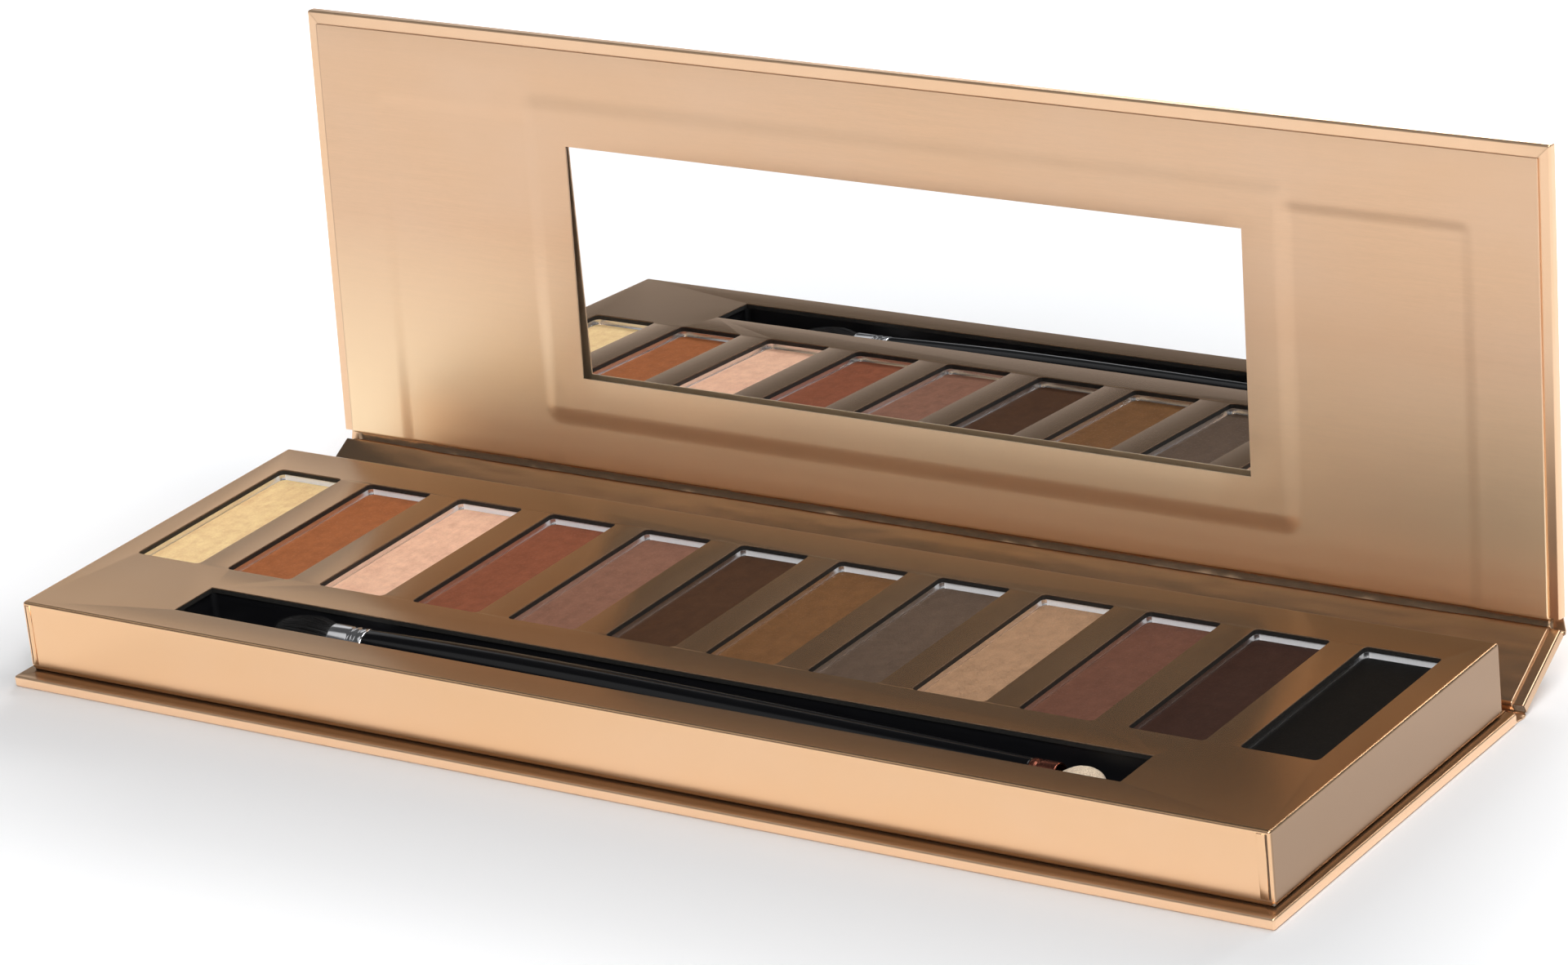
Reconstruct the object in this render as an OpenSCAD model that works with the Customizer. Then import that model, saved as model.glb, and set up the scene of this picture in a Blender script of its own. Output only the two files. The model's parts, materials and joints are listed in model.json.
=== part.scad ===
// Book-style eyeshadow palette: a paper-covered case of three boards, a card tray with a
// row of pressed-powder pans, a double-ended brush in its well and a mirror in the lid.
// Millimetres. The origin is the centre of the case base's underside, +X runs along the
// palette to the right, +Y runs back to the spine and +Z is up. The case stands open.

/* [Pans] */
// Width of the window over each pan
pan_window_w = 11.4; // [9:0.1:13]
// Depth of the window over each pan, front to back
pan_window_d = 33.6; // [26:0.1:40]
// Card left between two pan windows
pan_bar = 4.95; // [4:0.05:7]
// Radius of the windows' corners
window_r = 0.8; // [0.3:0.1:1.5]
// How far a pan reaches under the card beyond its window
pan_cover = 0.45; // [0.4:0.05:0.9]
// Height of a pan
pan_h = 3.4; // [2.4:0.1:4]
// Thickness of a pan's sheet metal
pan_t = 0.3; // [0.2:0.05:0.5]
// How far the powder lies below the pan's rim
powder_drop = 0.8; // [0.3:0.1:1.5]

/* [Brush] */
// Length of the bristle head that shows
bristle_len = 11; // [7:0.5:16]
// Largest radius of the bristle head
bristle_r = 3; // [2.7:0.1:3.3]
// Length of the bristle head's metal ferrule
ferrule_len = 6; // [5:0.5:10]
// Outer radius of the metal ferrule
ferrule_r = 2.5; // [2.2:0.1:2.8]
// Wall of both ferrules
ferrule_t = 0.25; // [0.15:0.05:0.4]
// Length of the handle between the ferrules
handle_len = 107; // [80:1:112]
// Largest radius of the handle
handle_r = 3; // [2.8:0.1:3.3]
// Length of the sponge tip's ferrule
sponge_ferrule_len = 4; // [3:0.5:7]
// Outer radius of the sponge tip's ferrule
sponge_ferrule_r = 1.9; // [1.6:0.1:2.3]
// Length of the sponge tip that shows
sponge_len = 6.5; // [5:0.5:9]
// Width of the sponge tip
sponge_w = 4.8; // [4:0.1:5.6]
// Thickness of the sponge tip
sponge_t = 3.8; // [3:0.1:4.2]
// Angle of the brush across its well
brush_skew = 0.55; // [0:0.05:0.6]
// How far the brush's middle lies behind the well's middle
brush_back = 0.4; // [0:0.1:0.4]

/* [Brush well] */
// Width of the well's window, front to back
well_d = 8.4; // [7.8:0.1:12]
// Free length beyond the bristle head, for a finger
well_room_left = 12.9; // [8:0.1:16]
// Free length beyond the sponge tip
well_room_right = 5; // [4.8:0.1:12]
// How far the well's middle lies to the left of the tray's middle
well_shift = 0.7; // [0:0.1:3]
// How far the trough's inside stands back under the card
trough_cover = 0.2; // [0.1:0.1:0.5]
// Wall and floor of the brush trough
trough_t = 0.4; // [0.3:0.1:0.8]
// How far the brush's highest point lies below the tray's top
brush_sunk = 0.1; // [0:0.05:1]

/* [Tray] */
// Height of the tray
tray_h = 10.2; // [9.6:0.1:14]
// Card in front of the brush well
front_border = 5.7; // [4:0.1:10]
// Card between the brush well and the pans
middle_border = 6.1; // [3:0.1:12]
// Card behind the pans
back_border = 7.2; // [4:0.1:12]
// Card beyond the first and the last pan
end_border = 4.375; // [3.5:0.125:12]
// Thickness of the black-core card on top
card_t = 0.6; // [0.4:0.1:1]
// Thickness of the tray's board walls
wall_t = 1; // [0.6:0.1:1.4]
// Gap round what stands inside the tray's walls
inside_gap = 0.3; // [0.1:0.1:0.8]
// Thickness of the board under the trough and the pans
floor_t = 1.5; // [0.8:0.1:1.8]
// Thickness of the die-cut board that holds the pans apart
carrier_t = 2; // [1:0.1:2.3]
// Gap between a pan and its slot in the carrier
carrier_fit = 0.15; // [0.05:0.05:0.3]
// Width of a spacer strip under the floor
spacer_w = 6; // [3:0.5:12]
// Number of spacer strips
spacer_count = 5; // [2:1:8]

/* [Case] */
// How far the case stands beyond the tray at each end
side_overhang = 1.2; // [0.8:0.1:4]
// How far the case stands in front of the tray
front_overhang = 2.6; // [0.8:0.1:6]
// Space between the tray and the fold behind it
back_room = 3.6; // [3:0.1:6]
// Thickness of the case's greyboards
board_t = 1.2; // [1:0.1:2]
// Thickness of the covering paper
paper_t = 0.2; // [0.1:0.05:0.3]
// Thickness of the lining paper
liner_t = 0.3; // [0.15:0.05:0.4]
// Width of the covering paper turned in over a board's edge
turn_in = 10.8; // [6:0.1:14]
// How far the lid's lining stands back from the lid's edges
liner_setback = 1.7; // [1:0.1:3]
// How far the base and lid boards stop short of the folds
hinge_gap = 2.4; // [2.3:0.1:3]
// How far the spine board stops short of the folds
spine_gap = 0.8; // [0.6:0.1:1.5]
// Half the width of the paper strip that bends at a fold
fold_half = 0.3; // [0.25:0.05:0.4]
// Gap between the closed lid and the tray
close_gap = 0.2; // [0.1:0.05:1]
// Angle of the open spine above the table
spine_rise = 28.3; // [0:0.1:90]
// Angle of the open lid back from upright
lid_lean = 3.5; // [0:0.1:20]

/* [Mirror] */
// Width of the mirror's window in the lining
mirror_window_w = 111; // [60:1:130]
// Height of the mirror's window
mirror_window_h = 35; // [20:0.5:36]
// Height of the window's lower edge above the lid's fold
mirror_up = 16.2; // [10:0.1:17]
// How far the mirror reaches under the lining round its window
mirror_border = 4.6; // [3:0.1:6]
// Thickness of the mirror
mirror_t = 1; // [0.8:0.05:1.1]
// How far the mirror stands out of the lid's board
mirror_rise = 0.45; // [0.3:0.05:0.6]
// Width of the slope where the lining comes down off the mirror
drape_w = 2; // [1:0.1:4]
// Gap round the mirror in its recess
mirror_fit = 0.15; // [0.05:0.05:0.3]

/* [Magnets] */
// Radius of the closing magnets
magnet_r = 4; // [3:0.5:5]
// Thickness of a tray magnet
tray_magnet_t = 2; // [1:0.5:3]
// Thickness of a lid magnet
lid_magnet_t = 0.4; // [0.3:0.05:0.5]
// Distance of a magnet's middle from the tray's end
magnet_in = 12; // [11:0.5:14]
// Distance of a magnet's middle from the tray's front
magnet_back = 8; // [7:0.5:9]

/* [Hidden] */
$fn = 48;
past = 1; // how far a cutting block runs past what it cuts
pan_count = 12;
function two_digits(n) = n < 10 ? str("0", n) : str(n);
function numbered(stem) = [for (i = [1 : pan_count]) str(stem, two_digits(i))];

// Case thicknesses, measured in from the outer face
board_top = paper_t + board_t;
wrapped_t = board_top + paper_t;
lined_t = wrapped_t + liner_t;
mirror_top = board_top + mirror_rise;
mirror_bottom = mirror_top - mirror_t;

// Tray plan
pan_pitch = pan_window_w + pan_bar;
brush_len = bristle_len + ferrule_len + handle_len + sponge_ferrule_len + sponge_len;
well_w = well_room_left + brush_len + well_room_right;
tray_w = pan_count * pan_window_w + (pan_count - 1) * pan_bar + 2 * end_border;
tray_d = front_border + well_d + middle_border + pan_window_d + back_border;
case_w = tray_w + 2 * side_overhang;
case_d = front_overhang + tray_d + back_room;
fold_y = case_d / 2;
tray_front = -case_d / 2 + front_overhang;
tray_back = tray_front + tray_d;
well_y = tray_front + front_border + well_d / 2;
pan_y = tray_front + front_border + well_d + middle_border + pan_window_d / 2;

// Tray heights, worked down from its top
tray_top = lined_t + tray_h;
card_top = tray_top - paper_t;
card_under = card_top - card_t;
pan_bottom = card_under - pan_h;
brush_r = max(bristle_r, handle_r);
seat_gap = 0.05; // between the resting brush and the trough's floor
trough_floor = tray_top - brush_sunk - 2 * brush_r - seat_gap;
floor_top = trough_floor - trough_t;
floor_under = floor_top - floor_t;
inside_w = tray_w - 2 * (paper_t + wall_t + inside_gap);
inside_front = tray_front + paper_t + wall_t + inside_gap;
inside_back = tray_back - paper_t - wall_t - inside_gap;
trough_w = well_w + 2 * (trough_cover + trough_t);
trough_d = well_d + 2 * (trough_cover + trough_t);
trough_back = well_y + trough_d / 2;
pan_w = pan_window_w + 2 * pan_cover;
pan_d = pan_window_d + 2 * pan_cover;
pan_r = window_r + pan_cover;

// Case plan: each board and its paper along the case, from one fold to the next
lid_stack = max(lined_t, mirror_top + liner_t);
spine_len = tray_top + close_gap + lid_stack;
lid_turn = 90 - lid_lean - spine_rise;
turned_w = case_w - 2 * (paper_t + turn_in); // bare board between the turned-in edges
base_board_y = [paper_t, case_d - hinge_gap];
spine_board_y = [spine_gap, spine_len - spine_gap];
lid_board_y = [hinge_gap, case_d - paper_t];
base_liner_side = side_overhang + paper_t + 0.2;
base_liner_front = front_overhang + paper_t + 0.2;
mirror_w = mirror_window_w + 2 * mirror_border;
mirror_h = mirror_window_h + 2 * mirror_border;
mirror_v = mirror_up + mirror_window_h / 2;
magnet_x = tray_w / 2 - magnet_in;
magnet_y = tray_front + magnet_back;

// Frames: the base from its front edge, the spine from the lower fold, the lid from the upper
module on_base() { translate([0, -case_d / 2, 0]) children(); }
module on_spine() { translate([0, fold_y, 0]) rotate([spine_rise, 0, 0]) children(); }
module on_upper_fold() { on_spine() translate([0, spine_len, 0]) children(); }
module on_lid() { on_upper_fold() rotate([lid_turn, 0, 0]) children(); }

// Shared shapes
// A block centred on X, from y[0] to y[1] and z[0] to z[1]
module block(w, y, z) {
    translate([-w / 2, y[0], z[0]]) cube([w, y[1] - y[0], z[1] - z[0]]);
}

module rounded_rect(w, d, r) {
    square([w - 2 * r, d], center = true);
    square([w, d - 2 * r], center = true);
    for (x = [-1, 1], y = [-1, 1]) {
        translate([x * (w / 2 - r), y * (d / 2 - r)]) circle(r);
    }
}

module rounded_block(w, d, r, z) {
    translate([0, 0, z[0]]) linear_extrude(z[1] - z[0]) rounded_rect(w, d, r);
}

function pan_x(i) = (i - (pan_count - 1) / 2) * pan_pitch;

// Moves children to each pan's place, or to one pan's place
module at_pan(i) { translate([pan_x(i), pan_y, 0]) children(); }
module at_pans() { for (i = [0 : pan_count - 1]) at_pan(i) children(); }

// The windows through the tray's top, for cutting its card and its skin
module top_windows() {
    z = [card_under - past, tray_top + past];
    at_pans() rounded_block(pan_window_w, pan_window_d, window_r, z);
    translate([-well_shift, 0, 0]) {
        block(well_w, [well_y - well_d / 2, well_y + well_d / 2], z);
    }
}

// The inside edge of the turned-in paper along a board; open ends run past the board
function bare_from(board, turned) = turned ? board[0] + turn_in : board[0] - past;
function bare_to(board, turned) = turned ? board[1] - turn_in : board[1] + past;

module bare_board(board, ends, z) {
    block(turned_w, [bare_from(board, ends[0]), bare_to(board, ends[1])], z);
}

// Covering paper round a board: the outer sheet, the wrapped edges and the turned-in flaps.
// ends says for each end of the board whether the paper is turned in there.
module covering(sheet, board, ends) {
    difference() {
        union() {
            block(case_w, sheet, [0, paper_t]);
            block(case_w,
                [board[0] - (ends[0] ? paper_t : 0), board[1] + (ends[1] ? paper_t : 0)],
                [0, wrapped_t]);
        }
        block(case_w - 2 * paper_t,
            [board[0] - (ends[0] ? 0 : past), board[1] + (ends[1] ? 0 : past)],
            [paper_t, board_top]);
        bare_board(board, ends, [board_top - board_t / 2, wrapped_t + past]);
    }
}

// Lining paper on the inside of a board: it lies on the turned-in flaps, dips onto the bare
// board between them and drops over the board's edge at each end that has a fold.
module lining(board, ends) {
    y = [ends[0] ? board[0] - paper_t + liner_setback : board[0] - liner_t,
        ends[1] ? board[1] + paper_t - liner_setback : board[1] + liner_t];
    dip_w = turned_w - 2 * liner_t;
    dip_y = [bare_from(board, ends[0]) + (ends[0] ? liner_t : -past),
        bare_to(board, ends[1]) + (ends[1] ? -liner_t : past)];
    difference() {
        block(case_w - 2 * liner_setback, y, [paper_t, lined_t]);
        block(case_w, board, [0, board_top]);
        difference() {
            block(case_w, board, [0, wrapped_t]);
            bare_board(board, ends, [0, lined_t]);
        }
        block(dip_w, dip_y, [board_top + liner_t, lined_t + past]);
    }
}

// A strip of paper bent sharply at a fold, between two distances in from the outer face
module folded_strip(turn, reach, inset) {
    near = [for (z = [inset[0], inset[1]]) [-z * tan(turn / 2), z]];
    ahead = [for (z = [inset[0], inset[1]])
        [reach[1] * cos(turn) - z * sin(turn), reach[1] * sin(turn) + z * cos(turn)]];
    rotate([90, 0, 90]) linear_extrude(case_w, center = true) polygon([
        [-reach[0], inset[0]], near[0], ahead[0], ahead[1], near[1], [-reach[0], inset[1]]]);
}

// A turned solid along +X from a list of [radius, distance along X]
module turned(profile) { rotate([0, 90, 0]) rotate_extrude() polygon(profile); }

// Case, base
module base_board() {
    color("tan") on_base() block(case_w - 2 * paper_t, base_board_y, [paper_t, board_top]);
}

module base_wrap() {
    color([0.85, 0.68, 0.5]) on_base() {
        covering([0, case_d - fold_half], base_board_y, [true, false]);
    }
}

// Levels the board between the turned-in flaps, so that the tray stands flat
module base_infill() {
    color("lightgray") on_base() {
        block(turned_w, [base_board_y[0] + turn_in, base_board_y[1]], [board_top, wrapped_t]);
    }
}

module base_liner() {
    color([0.8, 0.62, 0.45]) on_base() difference() {
        block(case_w - 2 * base_liner_side,
            [base_liner_front, base_board_y[1] + liner_t], [paper_t, lined_t]);
        block(case_w, [0, base_board_y[1]], [0, wrapped_t]);
    }
}

module lower_crease() {
    color([0.8, 0.62, 0.45]) translate([0, fold_y, 0]) {
        folded_strip(spine_rise, [fold_half, fold_half], [0, paper_t]);
    }
}

module lower_groove_liner() {
    color([0.6, 0.45, 0.3]) translate([0, fold_y, 0]) {
        folded_strip(spine_rise, [hinge_gap - liner_t, spine_gap - liner_t],
            [paper_t, paper_t + liner_t]);
    }
}

// Case, spine
module spine_board() {
    color("tan") on_spine() block(case_w - 2 * paper_t, spine_board_y, [paper_t, board_top]);
}

module spine_wrap() {
    color([0.85, 0.68, 0.5]) on_spine() {
        covering([fold_half, spine_len - fold_half], spine_board_y, [false, false]);
    }
}

module spine_liner() {
    color([0.8, 0.62, 0.45]) on_spine() lining(spine_board_y, [false, false]);
}

module upper_crease() {
    color([0.8, 0.62, 0.45]) on_upper_fold() {
        folded_strip(lid_turn, [fold_half, fold_half], [0, paper_t]);
    }
}

module upper_groove_liner() {
    color([0.6, 0.45, 0.3]) on_upper_fold() {
        folded_strip(lid_turn, [spine_gap - liner_t, hinge_gap - liner_t],
            [paper_t, paper_t + liner_t]);
    }
}

// Case, lid
// The recess for the mirror, and the holes for the magnets, in the lid's inner board
module mirror_block(extra, z) {
    block(mirror_w + 2 * extra,
        [mirror_v - mirror_h / 2 - extra, mirror_v + mirror_h / 2 + extra], z);
}

module lid_magnet_discs(extra, z) {
    for (side = [-1, 1]) {
        translate([side * magnet_x, fold_y - magnet_y, z[0]]) {
            cylinder(r = magnet_r + extra, h = z[1] - z[0]);
        }
    }
}

module lid_back_board() {
    color("tan") on_lid() {
        block(case_w - 2 * paper_t, lid_board_y, [paper_t, mirror_bottom]);
    }
}

module lid_face_board() {
    color("burlywood") on_lid() difference() {
        block(case_w - 2 * paper_t, lid_board_y, [mirror_bottom, board_top]);
        mirror_block(mirror_fit, [mirror_bottom - past, board_top + past]);
        lid_magnet_discs(mirror_fit, [mirror_bottom - past, board_top + past]);
    }
}

module lid_wrap() {
    color([0.85, 0.68, 0.5]) on_lid() difference() {
        covering([fold_half, case_d], lid_board_y, [false, true]);
        mirror_block(mirror_fit, [board_top, wrapped_t + past]);
    }
}

// The lining rises over the mirror's hidden edge and comes down round it in a soft slope
module mirror_mound() {
    rise = mirror_top - board_top;
    translate([0, mirror_v, board_top + liner_t]) hull() {
        cube([mirror_w + 2 * drape_w, mirror_h + 2 * drape_w, 0.02], center = true);
        translate([0, 0, rise - 0.01]) cube([mirror_w, mirror_h, 0.02], center = true);
    }
    mirror_block(drape_w, [board_top, board_top + liner_t]);
}

module lid_liner() {
    color([0.88, 0.72, 0.55]) on_lid() difference() {
        union() {
            lining(lid_board_y, [false, true]);
            difference() {
                mirror_mound();
                difference() {
                    block(case_w, lid_board_y, [0, wrapped_t]);
                    bare_board(lid_board_y, [false, true], [0, lined_t]);
                }
            }
        }
        mirror_block(0, [0, mirror_top]);
        block(mirror_window_w, [mirror_up, mirror_up + mirror_window_h], [0, lined_t + past]);
    }
}

module mirror() {
    color([0.8, 0.85, 0.9]) on_lid() mirror_block(0, [mirror_bottom, mirror_top]);
}

module lid_magnets() {
    color("silver") on_lid() lid_magnet_discs(0, [mirror_bottom, mirror_bottom + lid_magnet_t]);
}

// Tray
module tray_skin() {
    color([0.85, 0.68, 0.5]) difference() {
        block(tray_w, [tray_front, tray_back], [lined_t, tray_top]);
        block(tray_w - 2 * paper_t, [tray_front + paper_t, tray_back - paper_t],
            [lined_t - past, card_top]);
        top_windows();
    }
}

module tray_card() {
    color([0.12, 0.11, 0.1]) difference() {
        block(tray_w - 2 * paper_t, [tray_front + paper_t, tray_back - paper_t],
            [card_under, card_top]);
        top_windows();
    }
}

module long_walls() {
    color("dimgray") for (y = [tray_front + paper_t, tray_back - paper_t - wall_t]) {
        block(tray_w - 2 * paper_t, [y, y + wall_t], [lined_t, card_under]);
    }
}

module end_walls() {
    color("dimgray") for (side = [-1, 1]) {
        translate([side * (tray_w - 2 * paper_t - wall_t) / 2, 0, 0]) {
            block(wall_t, [tray_front + paper_t + wall_t, tray_back - paper_t - wall_t],
                [lined_t, card_under]);
        }
    }
}

module floor_board() {
    color("tan") block(inside_w, [inside_front, inside_back], [floor_under, floor_top]);
}

module floor_spacers() {
    step = (inside_w - spacer_w) / (spacer_count - 1);
    color("burlywood") for (i = [0 : spacer_count - 1]) {
        translate([-inside_w / 2 + spacer_w / 2 + i * step, 0, 0]) {
            block(spacer_w, [inside_front, inside_back], [lined_t, floor_under]);
        }
    }
}

module pan_riser() {
    color("burlywood") {
        block(inside_w, [trough_back + inside_gap, inside_back], [floor_top, pan_bottom]);
    }
}

module pan_carrier() {
    color([0.15, 0.14, 0.13]) difference() {
        block(inside_w, [trough_back + inside_gap, inside_back],
            [pan_bottom, pan_bottom + carrier_t]);
        at_pans() rounded_block(pan_w + 2 * carrier_fit, pan_d + 2 * carrier_fit,
            pan_r + carrier_fit, [pan_bottom - past, pan_bottom + carrier_t + past]);
    }
}

module tray_magnet_discs(extra, z) {
    for (side = [-1, 1]) {
        translate([side * magnet_x, magnet_y, z[0]]) cylinder(r = magnet_r + extra, h = z[1] - z[0]);
    }
}

// Blocks beside the trough that hold the magnets up against the card
module corner_blocks() {
    left = -well_shift - trough_w / 2 - inside_gap;
    right = -well_shift + trough_w / 2 + inside_gap;
    color([0.2, 0.2, 0.2]) difference() {
        for (x = [[-inside_w / 2, left], [right, inside_w / 2]]) {
            translate([x[0], inside_front, floor_top]) {
                cube([x[1] - x[0], trough_back - inside_front, card_under - floor_top]);
            }
        }
        tray_magnet_discs(0.1, [card_under - tray_magnet_t, card_under + past]);
    }
}

module tray_magnets() {
    color("silver") tray_magnet_discs(0, [card_under - tray_magnet_t, card_under]);
}

module brush_trough() {
    inner_w = trough_w - 2 * trough_t;
    inner_d = trough_d - 2 * trough_t;
    color([0.08, 0.08, 0.08]) translate([-well_shift, well_y, 0]) difference() {
        block(trough_w, [-trough_d / 2, trough_d / 2], [floor_top, card_under]);
        block(inner_w, [-inner_d / 2, inner_d / 2], [trough_floor, card_under + past]);
    }
}

// Pans and powders
module pan(i) {
    color([0.8, 0.8, 0.82]) at_pan(i) difference() {
        rounded_block(pan_w, pan_d, pan_r, [pan_bottom, card_under]);
        rounded_block(pan_w - 2 * pan_t, pan_d - 2 * pan_t, pan_r - pan_t,
            [pan_bottom + pan_t, card_under + past]);
    }
}

powder_colours = [
    [0.97, 0.82, 0.59], [0.65, 0.39, 0.24], [0.92, 0.71, 0.57], [0.55, 0.33, 0.25],
    [0.55, 0.39, 0.33], [0.29, 0.18, 0.14], [0.45, 0.31, 0.22], [0.35, 0.31, 0.27],
    [0.65, 0.51, 0.41], [0.43, 0.29, 0.25], [0.24, 0.15, 0.14], [0.1, 0.09, 0.08]];

module powder(i) {
    color(powder_colours[i]) at_pan(i) {
        rounded_block(pan_w - 2 * pan_t, pan_d - 2 * pan_t, pan_r - pan_t,
            [pan_bottom + pan_t, card_under - powder_drop]);
    }
}

// Brush: drawn along +X from the bristle tip, then laid in its well
root = 2.5; // how far each tip and each end of the handle reaches into its ferrule
ferrule_bore = ferrule_r - ferrule_t;
sponge_bore = sponge_ferrule_r - ferrule_t;
ferrule_x = bristle_len;
handle_x = ferrule_x + ferrule_len;
sponge_ferrule_x = handle_x + handle_len;
sponge_x = sponge_ferrule_x + sponge_ferrule_len;

module in_well() {
    translate([-well_shift - well_w / 2 + well_room_left + brush_len / 2, well_y + brush_back,
            trough_floor + seat_gap + brush_r]) {
        rotate([0, 0, -brush_skew]) translate([-brush_len / 2, 0, 0]) children();
    }
}

// The handle swells to its full radius a quarter of the way along and then tapers
function handle_radius(t) = t < 0.25
    ? ferrule_r + (handle_r - ferrule_r) * sin(90 * t / 0.25)
    : sponge_ferrule_r + (handle_r - sponge_ferrule_r) * cos(90 * (t - 0.25) / 0.75);

module brush_handle() {
    swell = [for (i = [0 : 16]) [handle_radius(i / 16), handle_x + handle_len * i / 16]];
    color([0.06, 0.06, 0.06]) in_well() turned(concat(
        [[0, handle_x - root], [ferrule_bore, handle_x - root], [ferrule_bore, handle_x]],
        swell,
        [[sponge_bore, sponge_ferrule_x], [sponge_bore, sponge_ferrule_x + root / 2],
        [0, sponge_ferrule_x + root / 2]]));
}

module bristle_ferrule() {
    color("silver") in_well() turned([[ferrule_bore, ferrule_x], [ferrule_r, ferrule_x],
        [ferrule_r, handle_x], [ferrule_bore, handle_x]]);
}

// A domed tuft that narrows into its ferrule
module bristles() {
    dome = bristle_len / 2;
    tip = [for (a = [0 : 15 : 90]) [bristle_r * sin(a), dome * (1 - cos(a))]];
    color([0.05, 0.05, 0.05]) in_well() turned(concat(tip,
        [[ferrule_bore, ferrule_x], [ferrule_bore, ferrule_x + root], [0, ferrule_x + root]]));
}

module sponge_ferrule() {
    x = sponge_ferrule_x;
    color([0.35, 0.2, 0.16]) in_well() turned([[sponge_bore, x], [sponge_ferrule_r, x],
        [sponge_ferrule_r, sponge_x], [sponge_bore, sponge_x]]);
}

// A flat oval foam tip on a round root
module sponge_tip() {
    r = sponge_t / 2;
    spread = (sponge_w - sponge_t) / 2;
    color([0.93, 0.85, 0.72]) in_well() {
        hull() {
            for (y = [-spread, spread]) {
                translate([sponge_x + sponge_len - r, y, 0]) sphere(r, $fn = 24);
            }
            translate([sponge_x, 0, 0]) rotate([0, 90, 0]) cylinder(r = sponge_bore, h = 0.5, $fn = 24);
        }
        translate([sponge_x - root / 2, 0, 0]) rotate([0, 90, 0]) cylinder(r = sponge_bore, h = root / 2);
    }
}

base_board();
base_wrap();
base_infill();
base_liner();
lower_crease();
lower_groove_liner();
spine_board();
spine_wrap();
spine_liner();
upper_crease();
upper_groove_liner();
lid_back_board();
lid_face_board();
lid_wrap();
lid_liner();
mirror();
lid_magnets();
tray_skin();
tray_card();
long_walls();
end_walls();
floor_board();
floor_spacers();
pan_riser();
pan_carrier();
corner_blocks();
tray_magnets();
brush_trough();
for (i = [0 : pan_count - 1]) {
    pan(i);
    powder(i);
}
brush_handle();
bristle_ferrule();
bristles();
sponge_ferrule();
sponge_tip();
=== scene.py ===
# %% [markdown]
# # An eyeshadow palette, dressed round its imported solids
#
# The palette is a book-style case of paper-covered board. Its base carries a card tray with twelve
# pressed powders and a double-ended brush, and its lid carries a mirror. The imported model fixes
# every size and place. This lesson models what a maker would see and touch: folded paper, cut card,
# pressed powder, lacquer and bristle. We load the frame first, because all the pieces are placed on
# it.

# %% Load the frame
import json
import math
import random

import bmesh
import bpy
from mathutils import Matrix, Vector, noise


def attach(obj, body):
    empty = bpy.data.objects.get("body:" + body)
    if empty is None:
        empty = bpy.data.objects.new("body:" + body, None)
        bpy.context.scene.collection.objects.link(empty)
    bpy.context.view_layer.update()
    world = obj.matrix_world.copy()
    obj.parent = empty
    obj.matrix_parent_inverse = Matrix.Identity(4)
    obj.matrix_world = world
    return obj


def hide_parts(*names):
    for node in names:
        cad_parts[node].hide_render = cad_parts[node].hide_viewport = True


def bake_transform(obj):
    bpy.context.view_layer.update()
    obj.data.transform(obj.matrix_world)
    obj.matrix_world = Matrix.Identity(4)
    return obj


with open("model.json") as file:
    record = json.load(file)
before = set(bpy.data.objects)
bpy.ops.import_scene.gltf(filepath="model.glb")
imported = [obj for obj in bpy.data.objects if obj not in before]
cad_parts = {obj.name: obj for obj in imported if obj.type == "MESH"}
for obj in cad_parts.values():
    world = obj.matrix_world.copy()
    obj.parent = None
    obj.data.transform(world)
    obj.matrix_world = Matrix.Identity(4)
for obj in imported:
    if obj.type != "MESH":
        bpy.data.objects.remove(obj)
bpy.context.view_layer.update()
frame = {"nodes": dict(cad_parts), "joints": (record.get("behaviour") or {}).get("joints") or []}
joints = {joint["name"]: joint for joint in frame["joints"]}

# %% [markdown]
# ## Camera
#
# A product picture like this is taken with a long lens from the front right, a little above the
# table. A long lens keeps the palette's edges nearly parallel. We make the camera first, so that
# every later step can be judged from the same place.

# %% Camera
scene = bpy.context.scene
camera_data = bpy.data.cameras.new("camera")
camera_data.lens = 134.93
camera_data.sensor_width = 36.0
camera_data.clip_start = 0.01
camera_data.clip_end = 50.0
camera = bpy.data.objects.new("camera", camera_data)
camera.location = (0.433391, -0.588205, 0.320216)
camera.rotation_euler = [math.radians(a) for a in (68.3053, 5.54553, 33.49688)]
scene.collection.objects.link(camera)
scene.camera = camera
scene.view_settings.view_transform = "Standard"
print("camera", round(camera.location.length, 3), "m from the case")

# %% [markdown]
# ## Sizes and places
#
# The case is three boards that turn about two folds, so each board is modelled lying flat, in
# millimetres, and then laid in its place by one matrix. The folds and the open angles come from the
# packed joints. Y runs along each board from the fold that it starts at, and Z is the height above
# the board's outer face. The paper sizes repeat those of the solids.

# %% Sizes in millimetres
MM = 0.001
HALF_W = 101.2  # half the case's width
HALF_D = 33.6  # half the base's depth
PAPER = 0.2  # thickness of the cover paper
WRAPPED = 1.6  # height of a board with its paper on both faces
LINER = 0.3  # thickness of the lining with its glue
LINED = WRAPPED + LINER
BARE_HALF = 90.2  # half the width of the board left bare between the turned-in edges
TURNED = 11.0  # from a board's outer edge to the inner edge of its turned-in paper
HINGE_GAP = 2.4  # from a fold to the base's board or the lid's
SPINE_GAP = 0.8  # from a fold to the spine's board
FOLD_HALF = 0.3  # half the length of cover paper that bends at a fold
SPINE_LEN = 14.45  # from fold to fold
LID_LEN = 67.2  # from the fold to the lid's edge
LINING_HALF = 99.5  # half the width of the linings, which stand back from the case's edges
TRAY_TOP = 12.1
CARD_UNDER = 11.3  # the underside of the tray's card

spine_rise = math.radians(-joints["spine_hinge"]["range_deg"][0])
lid_turn = math.radians(-joints["lid_hinge"]["range_deg"][0])
lower_fold = Vector(joints["spine_hinge"]["pos_m"])
upper_fold = Vector(joints["lid_hinge"]["pos_m"])


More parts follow.
